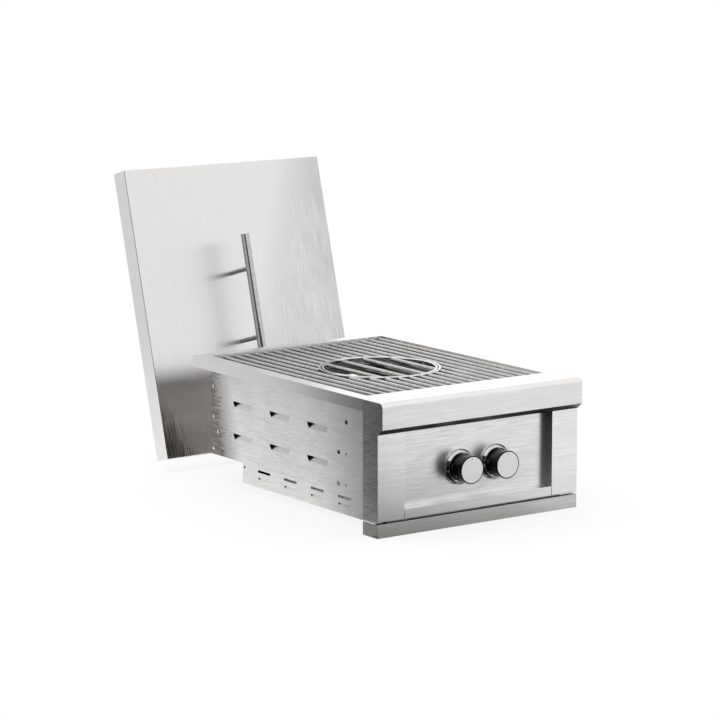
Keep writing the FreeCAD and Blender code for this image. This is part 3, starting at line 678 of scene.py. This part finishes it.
def rod_profile(length: float, radius: float, edge: float) -> np.ndarray:
    """Returns a rod's profile, from one end's middle over the rounded rims to the other's.

    Args:
        length: The rod's length.
        radius: Its radius.
        edge: The setback of the rounding at both rims.
    """
    corners = np.array([(0, 0), (0, radius), (length, radius), (length, 0)])
    return softened(corners, edge)


def slab(outline: np.ndarray, low: float, high: float, edge: float) -> np.ndarray:
    """Makes a plate with rounded rims from a convex outline.

    The rows are the outline drawn in to its middle, drawn in by the edge, at full size, and the
    same again in reverse, each at its own height.

    Args:
        outline: Points round the plate, one a row.
        low: The height of the underside.
        high: The height of the top.
        edge: How far the rims are drawn in.

    Returns:
        A grid of points, row by outline.
    """
    centre = outline.mean(axis=0)
    reach = np.linalg.norm(outline - centre, axis=1).max()
    share = np.array([0, 1 - edge / reach, 1, 1, 1 - edge / reach, 0])
    height = np.array([low, low, low + edge, high - edge, high, high])
    flat = centre + share[:, None, None] * (outline - centre)[None]
    upright = np.broadcast_to(height[:, None, None], (len(share), len(outline), 1))
    return np.concatenate([flat, upright], axis=2)


@dataclass
class Surface:
    """The grids of points that make up one piece's mesh."""

    points: list[np.ndarray] = field(default_factory=list)
    faces: list[np.ndarray] = field(default_factory=list)
    count: int = 0

    def add(self, grid: np.ndarray, closed_rows: bool = False, closed_columns: bool = True) -> None:
        """Adds a grid, with a face between each four neighbours.

        Args:
            grid: Points by row and column.
            closed_rows: True where the last row meets the first.
            closed_columns: True where the last column meets the first.
        """
        rows, columns = grid.shape[:2]
        index = np.arange(rows * columns).reshape(rows, columns) + self.count
        below = np.roll(index, -1, axis=0)
        beside = np.roll(index, -1, axis=1)
        across = np.roll(below, -1, axis=1)
        quads = np.stack([index, beside, across, below], axis=-1)
        quads = quads[: rows if closed_rows else -1, : columns if closed_columns else -1]
        self.points.append(grid.reshape(-1, 3))
        self.faces.append(quads.reshape(-1, 4))
        self.count += rows * columns

    def mesh(self, name: str) -> bpy.types.Mesh:
        """Returns the mesh, with seams and poles merged and every face outwards.

        Args:
            name: The mesh's name.
        """
        points = np.vstack(self.points)
        faces = np.vstack(self.faces)
        made = bpy.data.meshes.new(name)
        made.from_pydata(points.tolist(), [], faces.tolist())
        work = bmesh.new()
        work.from_mesh(made)
        bmesh.ops.remove_doubles(work, verts=work.verts, dist=SAME_POINT)
        bmesh.ops.recalc_face_normals(work, faces=work.faces)
        work.to_mesh(made)
        work.free()
        made.validate()
        return made


@dataclass
class Maker:
    """Puts pieces in the scene and dresses CAD nodes, with a record of each."""

    names: list[str] = field(default_factory=list)
    flat_below: float = math.radians(0.2)
    edge_above: float = math.radians(40)
    smooth_below: float = math.radians(35)

    def piece(
        self, name: str, made: bpy.types.Mesh, finish: Finish, body: str, slot: str | None = None,
        nodes: Iterable[str] = (),
    ) -> bpy.types.Object:
        """Makes a mesh a piece of the object.

        Args:
            name: The piece's name.
            made: Its mesh, in place.
            finish: Its finish.
            body: The CAD body that it rides on.
            slot: The record's material slot, or None where it has none; not used.
            nodes: The CAD nodes that it stands for.

        Returns:
            The piece.
        """
        made.shade_smooth()
        made.set_sharp_from_angle(angle=self.smooth_below)
        made.materials.clear()
        made.materials.append(finish.material())
        thing = bpy.data.objects.new(name, made)
        bpy.context.scene.collection.objects.link(thing)
        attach(thing, body)
        if nodes:
            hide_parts(*nodes)
        self.names.append(name)
        log.info("%s: %d faces on %s", name, len(made.polygons), body)
        return thing

    def stand_in(
        self, node: str, surface: Surface, finish: Finish, body: str, slot: str
    ) -> bpy.types.Object:
        """Makes a surface the piece that stands for a CAD node.

        Args:
            node: The CAD node.
            surface: The piece's surface.
            finish: Its finish.
            body: The CAD body that it rides on.
            slot: The record's material slot.

        Returns:
            The piece.
        """
        return self.piece(node + "_finished", surface.mesh(node), finish, body, slot, [node])

    def softened_copy(
        self, node: str, finish: Finish, body: str, slot: str, width: float, segments: int = 2
    ) -> bpy.types.Object:
        """Makes a piece from a copy of a CAD node, with its folds and edges rounded.

        Args:
            node: The CAD node.
            finish: The piece's finish.
            body: The CAD body that it rides on.
            slot: The record's material slot.
            width: How far each edge is set back.
            segments: Faces across each rounded edge.

        Returns:
            The piece.
        """
        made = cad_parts[node].data.copy()
        work = bmesh.new()
        work.from_mesh(made)
        bmesh.ops.remove_doubles(work, verts=work.verts, dist=SAME_CORNER)
        bmesh.ops.dissolve_limit(
            work, angle_limit=self.flat_below, use_dissolve_boundaries=False, verts=work.verts,
            edges=work.edges,
        )
        bmesh.ops.triangulate(work, faces=work.faces, ngon_method="EAR_CLIP")
        work.to_mesh(made)
        work.free()
        carried = made.attributes.get("custom_normal")
        if carried:
            made.attributes.remove(carried)
        thing = self.piece(node + "_finished", made, finish, body, slot, [node])
        bevel = thing.modifiers.new("rounded edges", "BEVEL")
        bevel.width = width
        bevel.segments = segments
        bevel.limit_method = "ANGLE"
        bevel.angle_limit = self.edge_above
        weighted = thing.modifiers.new("even shading", "WEIGHTED_NORMAL")
        weighted.mode = "FACE_AREA"
        weighted.weight = FULL_WEIGHT
        weighted.keep_sharp = True
        return thing

    def dress_node(self, node: str, finish: Finish, slot: str) -> None:
        """Gives a CAD node its finish.

        Args:
            node: The CAD node.
            finish: Its finish.
            slot: The record's material slot; not used.
        """
        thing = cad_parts[node]
        thing.data.materials.clear()
        thing.data.materials.append(finish.material())
        self.names.append(node)
        log.info("%s: dressed", node)


@dataclass
class Fascia:
    """The deck with its hood, the end caps, the posts, the rail and the control panel."""

    maker: Maker
    fold: float = 0.5 * MM

    def build(self) -> None:
        """Rounds and dresses every folded sheet of the front and the deck."""
        finishes = {
            "deck": DECK_STEEL, "left_end_cap": CHEEK_STEEL, "right_end_cap": CHEEK_STEEL,
            "left_post": FASCIA_STEEL, "right_post": FASCIA_STEEL, "bottom_rail": FASCIA_STEEL,
            "control_panel": PANEL_STEEL,
        }
        for node, finish in finishes.items():
            self.maker.softened_copy(node, finish, "burner", "brushed_stainless", self.fold)


@dataclass
class Liner:
    """The firebox walls, the vented box under them and the angles that carry the grate."""

    maker: Maker
    fold: float = 0.3 * MM
    screw_radius: float = 3.5 * MM
    screw_insets: tuple[float, ...] = (0.0, 15.2 * MM, 0.0, 0.0)
    screw_rises: tuple[float, ...] = (0.0, 35.0 * MM, 64.0 * MM, 125.0 * MM)
    screw_brim: float = 0.4 * MM
    screw_sides: int = 32
    dome_steps: int = 9

    def screws(self, side: str) -> None:
        """Makes the domed heads of the screws up one panel's rear edge.

        Each is a short brim with a quarter ellipse turned about its axis: distance = brim + rise *
        sin t, radius = R * cos t.

        Args:
            side: "left" or "right".
        """
        node = side + "_panel_screws"
        low, high = low_corner(node), high_corner(node)
        out = -1.0 if side == "left" else 1.0
        foot = high[0] if side == "left" else low[0]
        rise_of_dome = high[0] - low[0] - self.screw_brim
        t = np.linspace(0, FULL_TURN / 4, self.dome_steps)
        dome = np.stack(
            [self.screw_brim + rise_of_dome * np.sin(t), self.screw_radius * np.cos(t)], axis=1
        )
        profile = np.vstack([[(0, 0), (0, self.screw_radius)], dome])
        surface = Surface()
        last, lowest = high[1] - self.screw_radius, low[2] + self.screw_radius
        for inset, rise in zip(self.screw_insets, self.screw_rises):
            start = np.array([foot, last - inset, lowest + rise])
            surface.add(turned(profile, start, np.array([out, 0, 0]), self.screw_sides))
        self.maker.stand_in(node, surface, SCREW_STEEL, "burner", "screw_steel")

    def build(self) -> None:
        """Rounds and dresses the sheets, and makes the screw heads."""
        for node in ("left_side_panel", "right_side_panel"):
            self.maker.softened_copy(node, SIDE_STEEL, "burner", "liner_stainless", self.fold)
        self.maker.softened_copy("vent_box", BOX_STEEL, "burner", "liner_stainless", self.fold)
        self.maker.softened_copy("rear_panel", REAR_STEEL, "burner", "liner_stainless", self.fold)
        for node in ("firebox_front", "firebox_floor", "front_ledge", "rear_ledge"):
            self.maker.dress_node(node, WELL_STEEL, "liner_stainless")
        self.maker.dress_node("tray_runners", LINER_STEEL, "liner_stainless")
        for side in ("left", "right"):
            self.screws(side)


@dataclass
class Grate:
    """Round rods on flat bars, with a ring round a centre that lifts out."""

    maker: Maker
    radius: float = 4.5 * MM
    pitch: float = 23.6 * MM
    count: int = 18
    rim: float = 1.4 * MM
    into_ring: float = 2.0 * MM
    ring_edge: float = 1.1 * MM
    bar_edge: float = 1.4 / 3 * MM
    centre_pitch: float = 47.2 * MM
    centre_offset: float = 11.8 * MM
    centre_count: int = 4
    sides: int = 28

    def rod(self, surface: Surface, x: float, start: float, end: float, z: float) -> None:
        """Adds one rod along the depth.

        Args:
            surface: The surface that gets it.
            x: Its place across.
            start: Where it starts.
            end: Where it ends.
            z: The height of its axis.
        """
        profile = rod_profile(end - start, self.radius, self.rim)
        surface.add(turned(profile, np.array([x, start, z]), np.array([0, 1, 0]), self.sides))

    def rods(self) -> None:
        """Makes the rods of the frame, which end inside the ring's wall where they meet it."""
        low, high = low_corner("grate_rods"), high_corner("grate_rods")
        ring_low, ring_high = low_corner("grate_ring"), high_corner("grate_ring")
        outer = (ring_high[0] - ring_low[0]) / 2
        centre = (ring_high[1] + ring_low[1]) / 2
        z = (low[2] + high[2]) / 2
        reach = outer - self.into_ring
        surface = Surface()
        for x in (np.arange(self.count) - (self.count - 1) / 2) * self.pitch:
            if abs(x) < reach:
                half = math.sqrt(reach**2 - x**2)
                self.rod(surface, x, low[1], centre - half, z)
                self.rod(surface, x, centre + half, high[1], z)
            else:
                self.rod(surface, x, low[1], high[1], z)
        self.maker.stand_in("grate_rods", surface, ROD_STEEL, "grate", "polished_rod")

    def centre_rods(self) -> None:
        """Makes the four wider spaced rods of the lift-out centre."""
        low, high = low_corner("centre_ring"), high_corner("centre_ring")
        z = middle("centre_rods")[2]
        centre = (high[1] + low[1]) / 2
        reach = (high[0] - low[0]) / 2 - self.into_ring
        surface = Surface()
        places = (np.arange(self.centre_count) - (self.centre_count - 1) / 2) * self.centre_pitch
        for x in places + self.centre_offset:
            half = math.sqrt(reach**2 - x**2)
            self.rod(surface, x, centre - half, centre + half, z)
        self.maker.stand_in("centre_rods", surface, ROD_STEEL, "centre_grate", "polished_rod")

    def build(self) -> None:
        """Makes the rods and rounds the bars and rings."""
        self.rods()
        for ring, body in (("grate_ring", "grate"), ("centre_ring", "centre_grate")):
            self.maker.softened_copy(ring, ROD_STEEL, body, "grate_bar", self.ring_edge, 3)
        self.maker.softened_copy("grate_cross_bars", BAR_STEEL, "grate", "grate_bar", self.bar_edge)
        self.centre_rods()


@dataclass
class Burners:
    """Two cast rings, their stand, their mixer tubes and the spark electrode."""

    maker: Maker
    cast_edge: float = 0.6 * MM

    def build(self) -> None:
        """Rounds the castings and dresses the rest."""
        for node in ("outer_burner", "inner_burner"):
            self.maker.softened_copy(node, CAST_IRON, "burner", "cast_burner", self.cast_edge)
        for node in ("outer_mixer_tube", "inner_mixer_tube"):
            self.maker.dress_node(node, TUBE_STEEL, "tube_steel")
        self.maker.dress_node("burner_stand", LINER_STEEL, "liner_stainless")
        self.maker.dress_node("igniter_insulator", CERAMIC, "ceramic")
        self.maker.dress_node("igniter_electrode", WIRE_STEEL, "electrode_steel")


@dataclass
class GasTrain:
    """The manifold, the inlet and the two valves with their jets."""

    maker: Maker

    def build(self) -> None:
        """Dresses the pipes and the brass."""
        self.maker.dress_node("gas_manifold", TUBE_STEEL, "tube_steel")
        self.maker.dress_node("gas_inlet_fitting", BRASS, "brass")
        self.maker.dress_node("inlet_lock_nut", BRASS, "brass")
        for side in ("left", "right"):
            self.maker.dress_node(side + "_valve", BRASS, "brass")
            self.maker.dress_node(side + "_orifice", BRASS, "brass")


@dataclass
class Knob:
    """One chromed knob in its bezel, with its brushed face disc.

    The two rows of edges are the setbacks of the rounding in millimetres, corner by corner.
    """

    maker: Maker
    side: str
    sides: int = 120
    base: float = 1.0 * MM
    bezel_inner: float = 27.6 * MM
    bezel_hole: float = 10.0 * MM
    bezel_cone: float = 4.2 * MM
    bezel_lip: float = 1.4 * MM
    gap: float = 4.0 * MM
    flange_radius: float = 26.2 * MM
    flange_end: float = 9.0 * MM
    waist_radius: float = 24.3 * MM
    waist_start: float = 14.0 * MM
    waist_end: float = 30.0 * MM
    cap_start: float = 36.5 * MM
    cap_radius: float = 26.8 * MM
    height: float = 41.0 * MM
    bevel: float = 1.1 * MM
    face_sheet: float = 1.0 * MM
    hub: float = 24.0 * MM
    stem_hole: float = 4.05 * MM
    mark_width: float = 1.1 * MM
    mark_length: float = 3.2 * MM
    mark_inset: float = 2.4 * MM
    mark_sunk: float = 0.02 * MM
    mark_edge: float = 0.05 * MM
    bezel_edges: tuple[float, ...] = (0.2, 0.2, 1.2, 0.7, 0.5, 0.2, 0.2)
    body_edges: tuple[float, ...] = (0.2, 0.2, 0.8, 1.2, 1.5, 4.0, 1.5, 1.1, 0.3, 0.2)

    def foot(self) -> np.ndarray:
        """Returns the middle of the knob on the panel's face."""
        centre = middle(self.side + "_bezel")
        centre[1] = high_corner(self.side + "_bezel")[1]
        return centre

    def turn(self, corners: list[tuple[float, float]], edge: float | np.ndarray) -> Surface:
        """Turns a closed outline of distance in front of the panel and radius.

        Args:
            corners: The outline, back at its start at the end.
            edge: The setback of the rounding, for all corners or for each.

        Returns:
            The surface.
        """
        surface = Surface()
        profile = softened(np.array(corners), edge)
        surface.add(turned(profile, self.foot(), np.array([0, -1, 0]), self.sides))
        return surface

    def bezel(self) -> None:
        """Makes the ring round the knob: a conical front, rounded rims and a floor with a hole."""
        node = self.side + "_bezel"
        outer = (high_corner(node) - low_corner(node))[0] / 2
        high = self.foot()[1] - low_corner(node)[1]
        corners = [
            (self.base / 2, self.bezel_hole), (0, self.bezel_hole), (0, outer),
            (high - self.bezel_cone, outer), (high, self.bezel_inner + self.bezel_lip),
            (high, self.bezel_inner), (self.base, self.bezel_inner), (self.base, self.bezel_hole),
            (self.base / 2, self.bezel_hole),
        ]
        surface = self.turn(corners, np.array(self.bezel_edges) * MM)
        self.maker.stand_in(node, surface, CHROME, "burner", "chrome")

    def body(self) -> None:
        """Makes the knob's body: flange, drawn-in waist, flare and a lip round the face disc."""
        face_back = self.height - self.face_sheet
        lip = self.cap_radius - 2 * self.bevel
        corners = [
            (self.hub, 0), (self.hub, self.stem_hole), (self.gap, self.stem_hole),
            (self.gap, self.flange_radius), (self.flange_end, self.flange_radius),
            (self.waist_start, self.waist_radius), (self.waist_end, self.waist_radius),
            (self.cap_start, self.cap_radius), (self.height, self.cap_radius), (self.height, lip),
            (face_back, lip), (face_back, 0),
        ]
        surface = self.turn(corners, np.array(self.body_edges) * MM)
        knob = self.side + "_knob"
        self.maker.stand_in(knob + "_body", surface, DARK_CHROME, knob, "chrome")

    def mark(self) -> None:
        """Makes the short index mark that fills the cut in the face disc."""
        low, high = low_corner(self.side + "_knob_face"), high_corner(self.side + "_knob_face")
        front, top = low[1], high[2] - self.mark_inset
        half = self.mark_width / 2
        x = self.foot()[0]
        end = top - self.mark_length
        outline = np.array([(x - half, end), (x + half, end), (x + half, top), (x - half, top)])
        back = front + self.face_sheet / 2
        grid = slab(outline, front + self.mark_sunk, back, self.mark_edge)
        surface = Surface()
        surface.add(grid[..., [0, 2, 1]])
        name = self.side + "_index_mark"
        self.maker.piece(name, surface.mesh(name), INK, self.side + "_knob")

    def build(self) -> None:
        """Makes the bezel, the body and the mark, and dresses the rest."""
        self.bezel()
        self.body()
        self.mark()
        self.maker.dress_node(self.side + "_knob_face", FACE_STEEL, "brushed_face")
        self.maker.dress_node(self.side + "_valve_stem", BRASS, "brass")
        self.maker.dress_node(self.side + "_push_washer", SCREW_STEEL, "screw_steel")


@dataclass
class DripTray:
    """The pull across the whole front and the pan behind it."""

    maker: Maker
    fold: float = 0.5 * MM
    pan_fold: float = 0.25 * MM

    def build(self) -> None:
        """Rounds and dresses both sheets."""
        sheets = (
            ("tray_front", TRAY_STEEL, "brushed_stainless", self.fold),
            ("tray_pan", LINER_STEEL, "liner_stainless", self.pan_fold),
        )
        for node, finish, slot, fold in sheets:
            self.maker.softened_copy(node, finish, "drip_tray", slot, fold)


@dataclass
class Lid:
    """The loose lid that leans behind the burner, with its bar handle."""

    maker: Maker
    fold: float = 1.0 * MM
    bar_radius: float = 8.75 * MM
    bar_length: float = 284 * MM
    bar_rim: float = 1.5 * MM
    sides: int = 64

    def bar(self) -> None:
        """Makes the handle bar, a turned rod with rounded rims, leaning with the lid."""
        axis = np.array([0, math.sin(LEAN), math.cos(LEAN)])
        start = middle("lid_handle_bar") - axis * self.bar_length / 2
        surface = Surface()
        profile = rod_profile(self.bar_length, self.bar_radius, self.bar_rim)
        surface.add(turned(profile, start, axis, self.sides))
        self.maker.stand_in("lid_handle_bar", surface, HANDLE_STEEL, "lid", "satin_handle")

    def build(self) -> None:
        """Makes the bar, rounds the shell and dresses the rest."""
        self.maker.softened_copy("lid_shell", LID_STEEL, "lid", "brushed_stainless", self.fold, 3)
        self.bar()
        self.maker.dress_node("lid_handle_posts", HANDLE_STEEL, "satin_handle")
        self.maker.dress_node("lid_handle_screws", SCREW_STEEL, "screw_steel")


@dataclass
class Shade:
    """A sheet beside the object that only its reflections show, with a tone at every point.

    It stands for the dim side of the studio. Where its cover is 0 it is clear. With glazing on, it
    is dark to a ray that meets it steeply and shows its tone to one that grazes it, as a glossy
    table top does.
    """

    name: str
    glazed: bool = False
    blend: float = 0.5
    grazed_from: float = 0.5
    grazed_to: float = 0.74
    dark: float = 0.03

    def build(self, grid: np.ndarray, tone: np.ndarray, cover: np.ndarray) -> None:
        """Makes the sheet's mesh and material.

        Args:
            grid: Points by row and column.
            tone: How bright each point is, where 1 is white.
            cover: How much of the sheet there is at each point, from 0 to 1.
        """
        surface = Surface()
        surface.add(grid, closed_columns=False)
        made = bpy.data.meshes.new(self.name)
        made.from_pydata(surface.points[0].tolist(), [], surface.faces[0].tolist())
        for label, values in (("tone", tone), ("cover", cover)):
            layer = made.attributes.new(label, "FLOAT", "POINT")
            layer.data.foreach_set("value", values.reshape(-1).astype(np.float32))
        made.materials.append(self.material())
        thing = bpy.data.objects.new(self.name, made)
        bpy.context.scene.collection.objects.link(thing)
        thing.visible_camera = False
        thing.visible_diffuse = False
        thing.visible_shadow = False

    def material(self) -> bpy.types.Material:
        """Returns the sheet's material: its tone as plain light, clear where it has no cover."""
        made = bpy.data.materials.new(self.name)
        made.use_nodes = True
        tree = made.node_tree
        tree.nodes.clear()
        level = add_node(tree, "Attribute", attribute_name="tone").outputs["Fac"]
        cover = add_node(tree, "Attribute", attribute_name="cover").outputs["Fac"]
        if self.glazed:
            facing = add_node(tree, "LayerWeight", self.blend).outputs["Facing"]
            grazed = add_node(
                tree, "MapRange", facing, self.grazed_from, self.grazed_to, self.dark, 1.0
            )
            level = add_node(tree, "Math", level, grazed, operation="MULTIPLY")
        clear = add_node(tree, "BsdfTransparent")
        glow = add_node(tree, "Emission", linear(WHITE), level)
        add_node(tree, "OutputMaterial", add_node(tree, "MixShader", cover, clear, glow))
        return made


@dataclass(frozen=True)
class Lamp:
    """A soft rectangular lamp, whose level is how bright its face is, where 1 is white."""

    name: str
    place: tuple[float, float, float]
    size: tuple[float, float]
    level: float
    aim: tuple[float, float, float] = (0.0, -0.2, 0.0)

    def build(self) -> None:
        """Makes the lamp, turned to its aim."""
        data = bpy.data.lights.new(self.name, "AREA")
        data.shape = "RECTANGLE"
        data.size, data.size_y = self.size
        data.energy = self.level * math.pi * self.size[0] * self.size[1]
        thing = bpy.data.objects.new(self.name, data)
        thing.location = self.place
        way = Vector(self.aim) - Vector(self.place)
        thing.rotation_euler = way.to_track_quat("-Z", "Y").to_euler()
        thing.visible_camera = False
        bpy.context.scene.collection.objects.link(thing)


def ramp(values: np.ndarray, start: float, end: float) -> np.ndarray:
    """Returns 0 before start and 1 after end, with a smooth 3t^2 - 2t^3 between them.

    Args:
        values: What is measured.
        start: Where the rise begins.
        end: Where it ends.
    """
    t = np.clip((values - start) / (end - start), 0, 1)
    return t * t * (3 - 2 * t)


@dataclass
class Studio:
    """The camera at the photograph's angle, a pale floor, soft light and shades for the metal.

    The shades' tones follow the ray that the near upright edge of the object's side reflects, which
    runs back to the left, and the distance from it to the right. Places behind the front are
    measured from the front of the rail.
    """

    # The camera, whose focal length is in pixels of the square image, and the lamps.
    place: tuple[float, float, float] = (-3.4380, -5.0746, 1.0535)
    azimuth: float = 35.389
    elevation: float = 9.843
    focal_pixels: float = 3069.23
    image: int = 720
    sensor: float = 36.0
    sight: float = 60.0
    lamps: tuple[Lamp, ...] = (
        Lamp("back_lamp", (2.4, 3.0, 1.3), (3.6, 1.8), 0.5),
        Lamp("key_lamp", (-0.8, 0.4, 3.0), (2.4, 2.4), 1.4),
    )

    # The floor, whiter to a look from white_from outwards.
    floor_half: float = 9.0
    floor_drop: float = 0.6 * MM
    floor_roughness: float = 0.9
    pale: str = "#F6F6F6"
    floor_white: float = 0.8
    white_from: float = 0.9
    white_at: float = 2.4

    # Tones by the distance from the ray, and in front of the object by that along front_way.
    edge_x: float = -0.235
    off_ray: tuple[float, float] = (0.8155, 0.58)
    side_at: tuple[float, ...] = (0.035, 0.064, 0.0986, 0.133, 0.174, 0.25, 0.4)
    side_tones: tuple[float, ...] = (0.10, 0.19, 0.32, 0.51, 0.71, 0.85, 0.93)
    front_way: tuple[float, float] = (0.95, -0.31)
    front_at: tuple[float, ...] = (-0.42, -0.15, 0.04, 0.16, 0.27, 0.40, 0.50)
    front_tones: tuple[float, ...] = (0.0, 0.15, 0.35, 0.56, 0.79, 0.96, 1.0)
    edge_of_dark: tuple[float, float] = (-0.2, -0.1)

    # The shades on the floor: their grid, their outline and the rim over which they fade.
    step: float = 0.025
    rounding: float = 0.01
    reach: float = 2.2
    seam: float = 0.02
    left_from: float = -0.2
    back_end: float = 1.8
    rim: tuple[float, float] = (1.5, 2.0)
    rim_shift: float = 0.2
    floor_lift: tuple[float, float] = (0.13, 1.35)

    # The shade that stands on the left, with the heights and depths over which it fades.
    side_sheet: float = -0.45
    side_start: float = -0.3
    side_height: float = 1.5
    side_top: tuple[float, float] = (0.9, 1.45)
    side_back: tuple[float, float] = (1.2, 1.75)
    high_side: float = 0.8
    high_from: tuple[float, float] = (0.05, 0.22)

    # The dim wall: its turn about the object in radians, and the shares over which it fades.
    rows: int = 31
    dim_columns: int = 61
    dim_turn: tuple[float, float] = (-2.0, 0.0)
    dim_radius: float = 2.3
    dim_height: float = 1.25
    dim_tone: float = 0.02
    dim_in: tuple[float, float] = (0.0, 0.12)
    dim_out: tuple[float, float] = (0.85, 1.0)
    dim_fade: float = 0.8

    def front(self) -> float:
        """Returns where the rail's front is."""
        return low_corner("bottom_rail")[1]

    def foot(self) -> float:
        """Returns the height of the shades' foot, just over the floor."""
        return CAD_BOX[0][2] - self.floor_drop / 2

    def camera(self) -> None:
        """Makes the camera."""
        data = bpy.data.cameras.new("camera")
        data.sensor_width = self.sensor
        data.lens = self.focal_pixels * self.sensor / self.image
        data.clip_end = self.sight
        thing = bpy.data.objects.new("camera", data)
        thing.location = self.place
        thing.rotation_euler = (math.radians(90 - self.elevation), 0, math.radians(-self.azimuth))
        bpy.context.scene.collection.objects.link(thing)
        bpy.context.scene.camera = thing

    def world(self) -> None:
        """Makes the plain white surroundings."""
        made = bpy.data.worlds.new("white studio")
        made.use_nodes = True
        background = made.node_tree.nodes["Background"]
        background.inputs["Color"].default_value = linear(WHITE)
        background.inputs["Strength"].default_value = 1.0
        bpy.context.scene.world = made

    def dress_floor(self, tree: Any, shader: Any) -> None:
        """Makes the floor pale and dull, and whiter to the rays that look at it from farther off.

        Args:
            tree: The node tree.
            shader: The principled shader.
        """
        shader.inputs["Base Color"].default_value = linear(self.pale)
        shader.inputs["Roughness"].default_value = self.floor_roughness
        shader.inputs["Specular IOR Level"].default_value = 0.0
        path = add_node(tree, "LightPath").outputs
        looked_at = path["Is Camera Ray"]
        for other in (path["Is Glossy Ray"], path["Is Transmission Ray"]):
            looked_at = add_node(tree, "Math", looked_at, other, operation="MAXIMUM")
        spot = add_node(tree, "TexCoord")
        away = add_node(tree, "VectorMath", spot.outputs["Object"], operation="LENGTH")
        whiter = add_node(
            tree, "MapRange", away, self.white_from, self.white_at, self.floor_white, 1.0
        )
        share = add_node(tree, "Math", looked_at, whiter, operation="MULTIPLY")
        white = add_node(tree, "Emission", linear(WHITE), 1.0)
        mixed = add_node(tree, "MixShader", share, shader, white)
        feed(tree, tree.nodes["Material Output"].inputs["Surface"], mixed)

    def floor(self) -> None:
        """Makes the plain pale floor at the foot of the tray."""
        z = CAD_BOX[0][2] - self.floor_drop
        half = self.floor_half
        made = bpy.data.meshes.new("floor")
        corners = [(-half, -half, z), (half, -half, z), (half, half, z), (-half, half, z)]
        made.from_pydata(corners, [], [(0, 1, 2, 3)])
        made.materials.append(new_material("pale_floor_paper", self.dress_floor))
        thing = bpy.data.objects.new("floor", made)
        bpy.context.scene.collection.objects.link(thing)

    def ray_distance(self, x: np.ndarray, y: np.ndarray) -> np.ndarray:
        """Returns how far places lie to the right of the near edge's ray."""
        return self.off_ray[0] * (x - self.edge_x) + self.off_ray[1] * y

    def side_tone(self, x: np.ndarray, y: np.ndarray) -> np.ndarray:
        """Returns the tone left of the object, which grows with the distance from the ray."""
        return np.interp(self.ray_distance(x, y), self.side_at, self.side_tones)

    def front_tone(self, x: np.ndarray, y: np.ndarray) -> np.ndarray:
        """Returns the tone in front of the object, which grows to the right and away from it."""
        s = self.front_way[0] * x + self.front_way[1] * y
        return np.interp(s, self.front_at, self.front_tones) * ramp(
            self.ray_distance(x, y), *self.edge_of_dark
        )

    def lifted_tone(self, x: np.ndarray, y: np.ndarray) -> np.ndarray:
        """Returns the tone of the floor left of the object, brighter than the sheet over it."""
        return np.minimum(self.floor_lift[0] + self.floor_lift[1] * self.side_tone(x, y), 1.0)

    def spaced(self, start: float, end: float) -> np.ndarray:
        """Returns places from start to end that are a step or slightly more apart."""
        whole_steps = int((end - start) / self.step + self.rounding)
        return np.linspace(start, end, whole_steps + 1)

    def floor_shade(
        self, shade: Shade, x: np.ndarray, y: np.ndarray,
        tone: Callable[[np.ndarray, np.ndarray], np.ndarray],
    ) -> None:
        """Lays a shade on the floor, which fades out at the rim.

        Args:
            shade: The shade.
            x: The places of its columns.
            y: The places of its rows, behind the front.
            tone: Gives the tone from places across and back.
        """
        across, back = np.meshgrid(x, y)
        outside = np.maximum(np.abs(across), np.abs(back + self.rim_shift))
        grid = np.stack([across, back + self.front(), np.full_like(across, self.foot())], axis=-1)
        shade.build(grid, tone(across, back), 1 - ramp(outside, *self.rim))

    def left_shade(self) -> None:
        """Stands a shade left of the object, which fades out to the top and the back."""
        y = self.spaced(self.side_start, self.back_end)
        back, up = np.meshgrid(y, np.linspace(0, self.side_height, self.rows))
        left = np.full_like(back, self.side_sheet)
        cover = (1 - ramp(up, *self.side_top)) * (1 - ramp(back, *self.side_back))
        tone = self.side_tone(left, back) * (1 - (1 - self.high_side) * ramp(up, *self.high_from))
        grid = np.stack([left, back + self.front(), up + self.foot()], axis=-1)
        Shade("left_shade").build(grid, tone, cover)

    def dim_wall(self) -> None:
        """Bends a dim wall round the left of the object.

        It is an arc about the middle of the front: x = R sin a, y = front - R cos a.
        """
        share = np.linspace(0, 1, self.dim_columns)
        share, up = np.meshgrid(share, np.linspace(0, self.dim_height, self.rows))
        angle = self.dim_turn[0] + (self.dim_turn[1] - self.dim_turn[0]) * share
        sides = ramp(share, *self.dim_in) * (1 - ramp(share, *self.dim_out))
        cover = sides * (1 - ramp(up, self.dim_fade * self.dim_height, self.dim_height))
        x = self.dim_radius * np.sin(angle)
        y = self.front() - self.dim_radius * np.cos(angle)
        grid = np.stack([x, y, up + self.foot()], axis=-1)
        Shade("dim_wall").build(grid, np.full_like(up, self.dim_tone), cover)

    def build(self) -> None:
        """Makes the camera, the surroundings, the floor, the lamps and the shades."""
        self.camera()
        self.world()
        self.floor()
        for lamp in self.lamps:
            lamp.build()
        wide, before = self.spaced(-self.reach, self.reach), self.spaced(-self.reach, self.seam)
        self.floor_shade(Shade("front_floor_shade", glazed=True), wide, before, self.front_tone)
        left = self.spaced(-self.reach, self.left_from)
        behind = self.spaced(self.seam, self.back_end)
        self.floor_shade(Shade("left_floor_shade"), left, behind, self.lifted_tone)
        self.left_shade()
        self.dim_wall()


def main() -> None:
    """Builds the sub-assemblies in order, then the studio, and logs the number of pieces."""
    logging.basicConfig(level=logging.INFO, format="%(name)s %(message)s")
    bpy.context.scene.view_settings.view_transform = "Standard"
    maker = Maker()
    Fascia(maker).build()
    Liner(maker).build()
    Grate(maker).build()
    Burners(maker).build()
    GasTrain(maker).build()
    for side in ("left", "right"):
        Knob(maker, side).build()
    DripTray(maker).build()
    Lid(maker).build()
    Studio().build()
    log.info("%d pieces", len(maker.names))


if __name__ == "__main__":
    main()
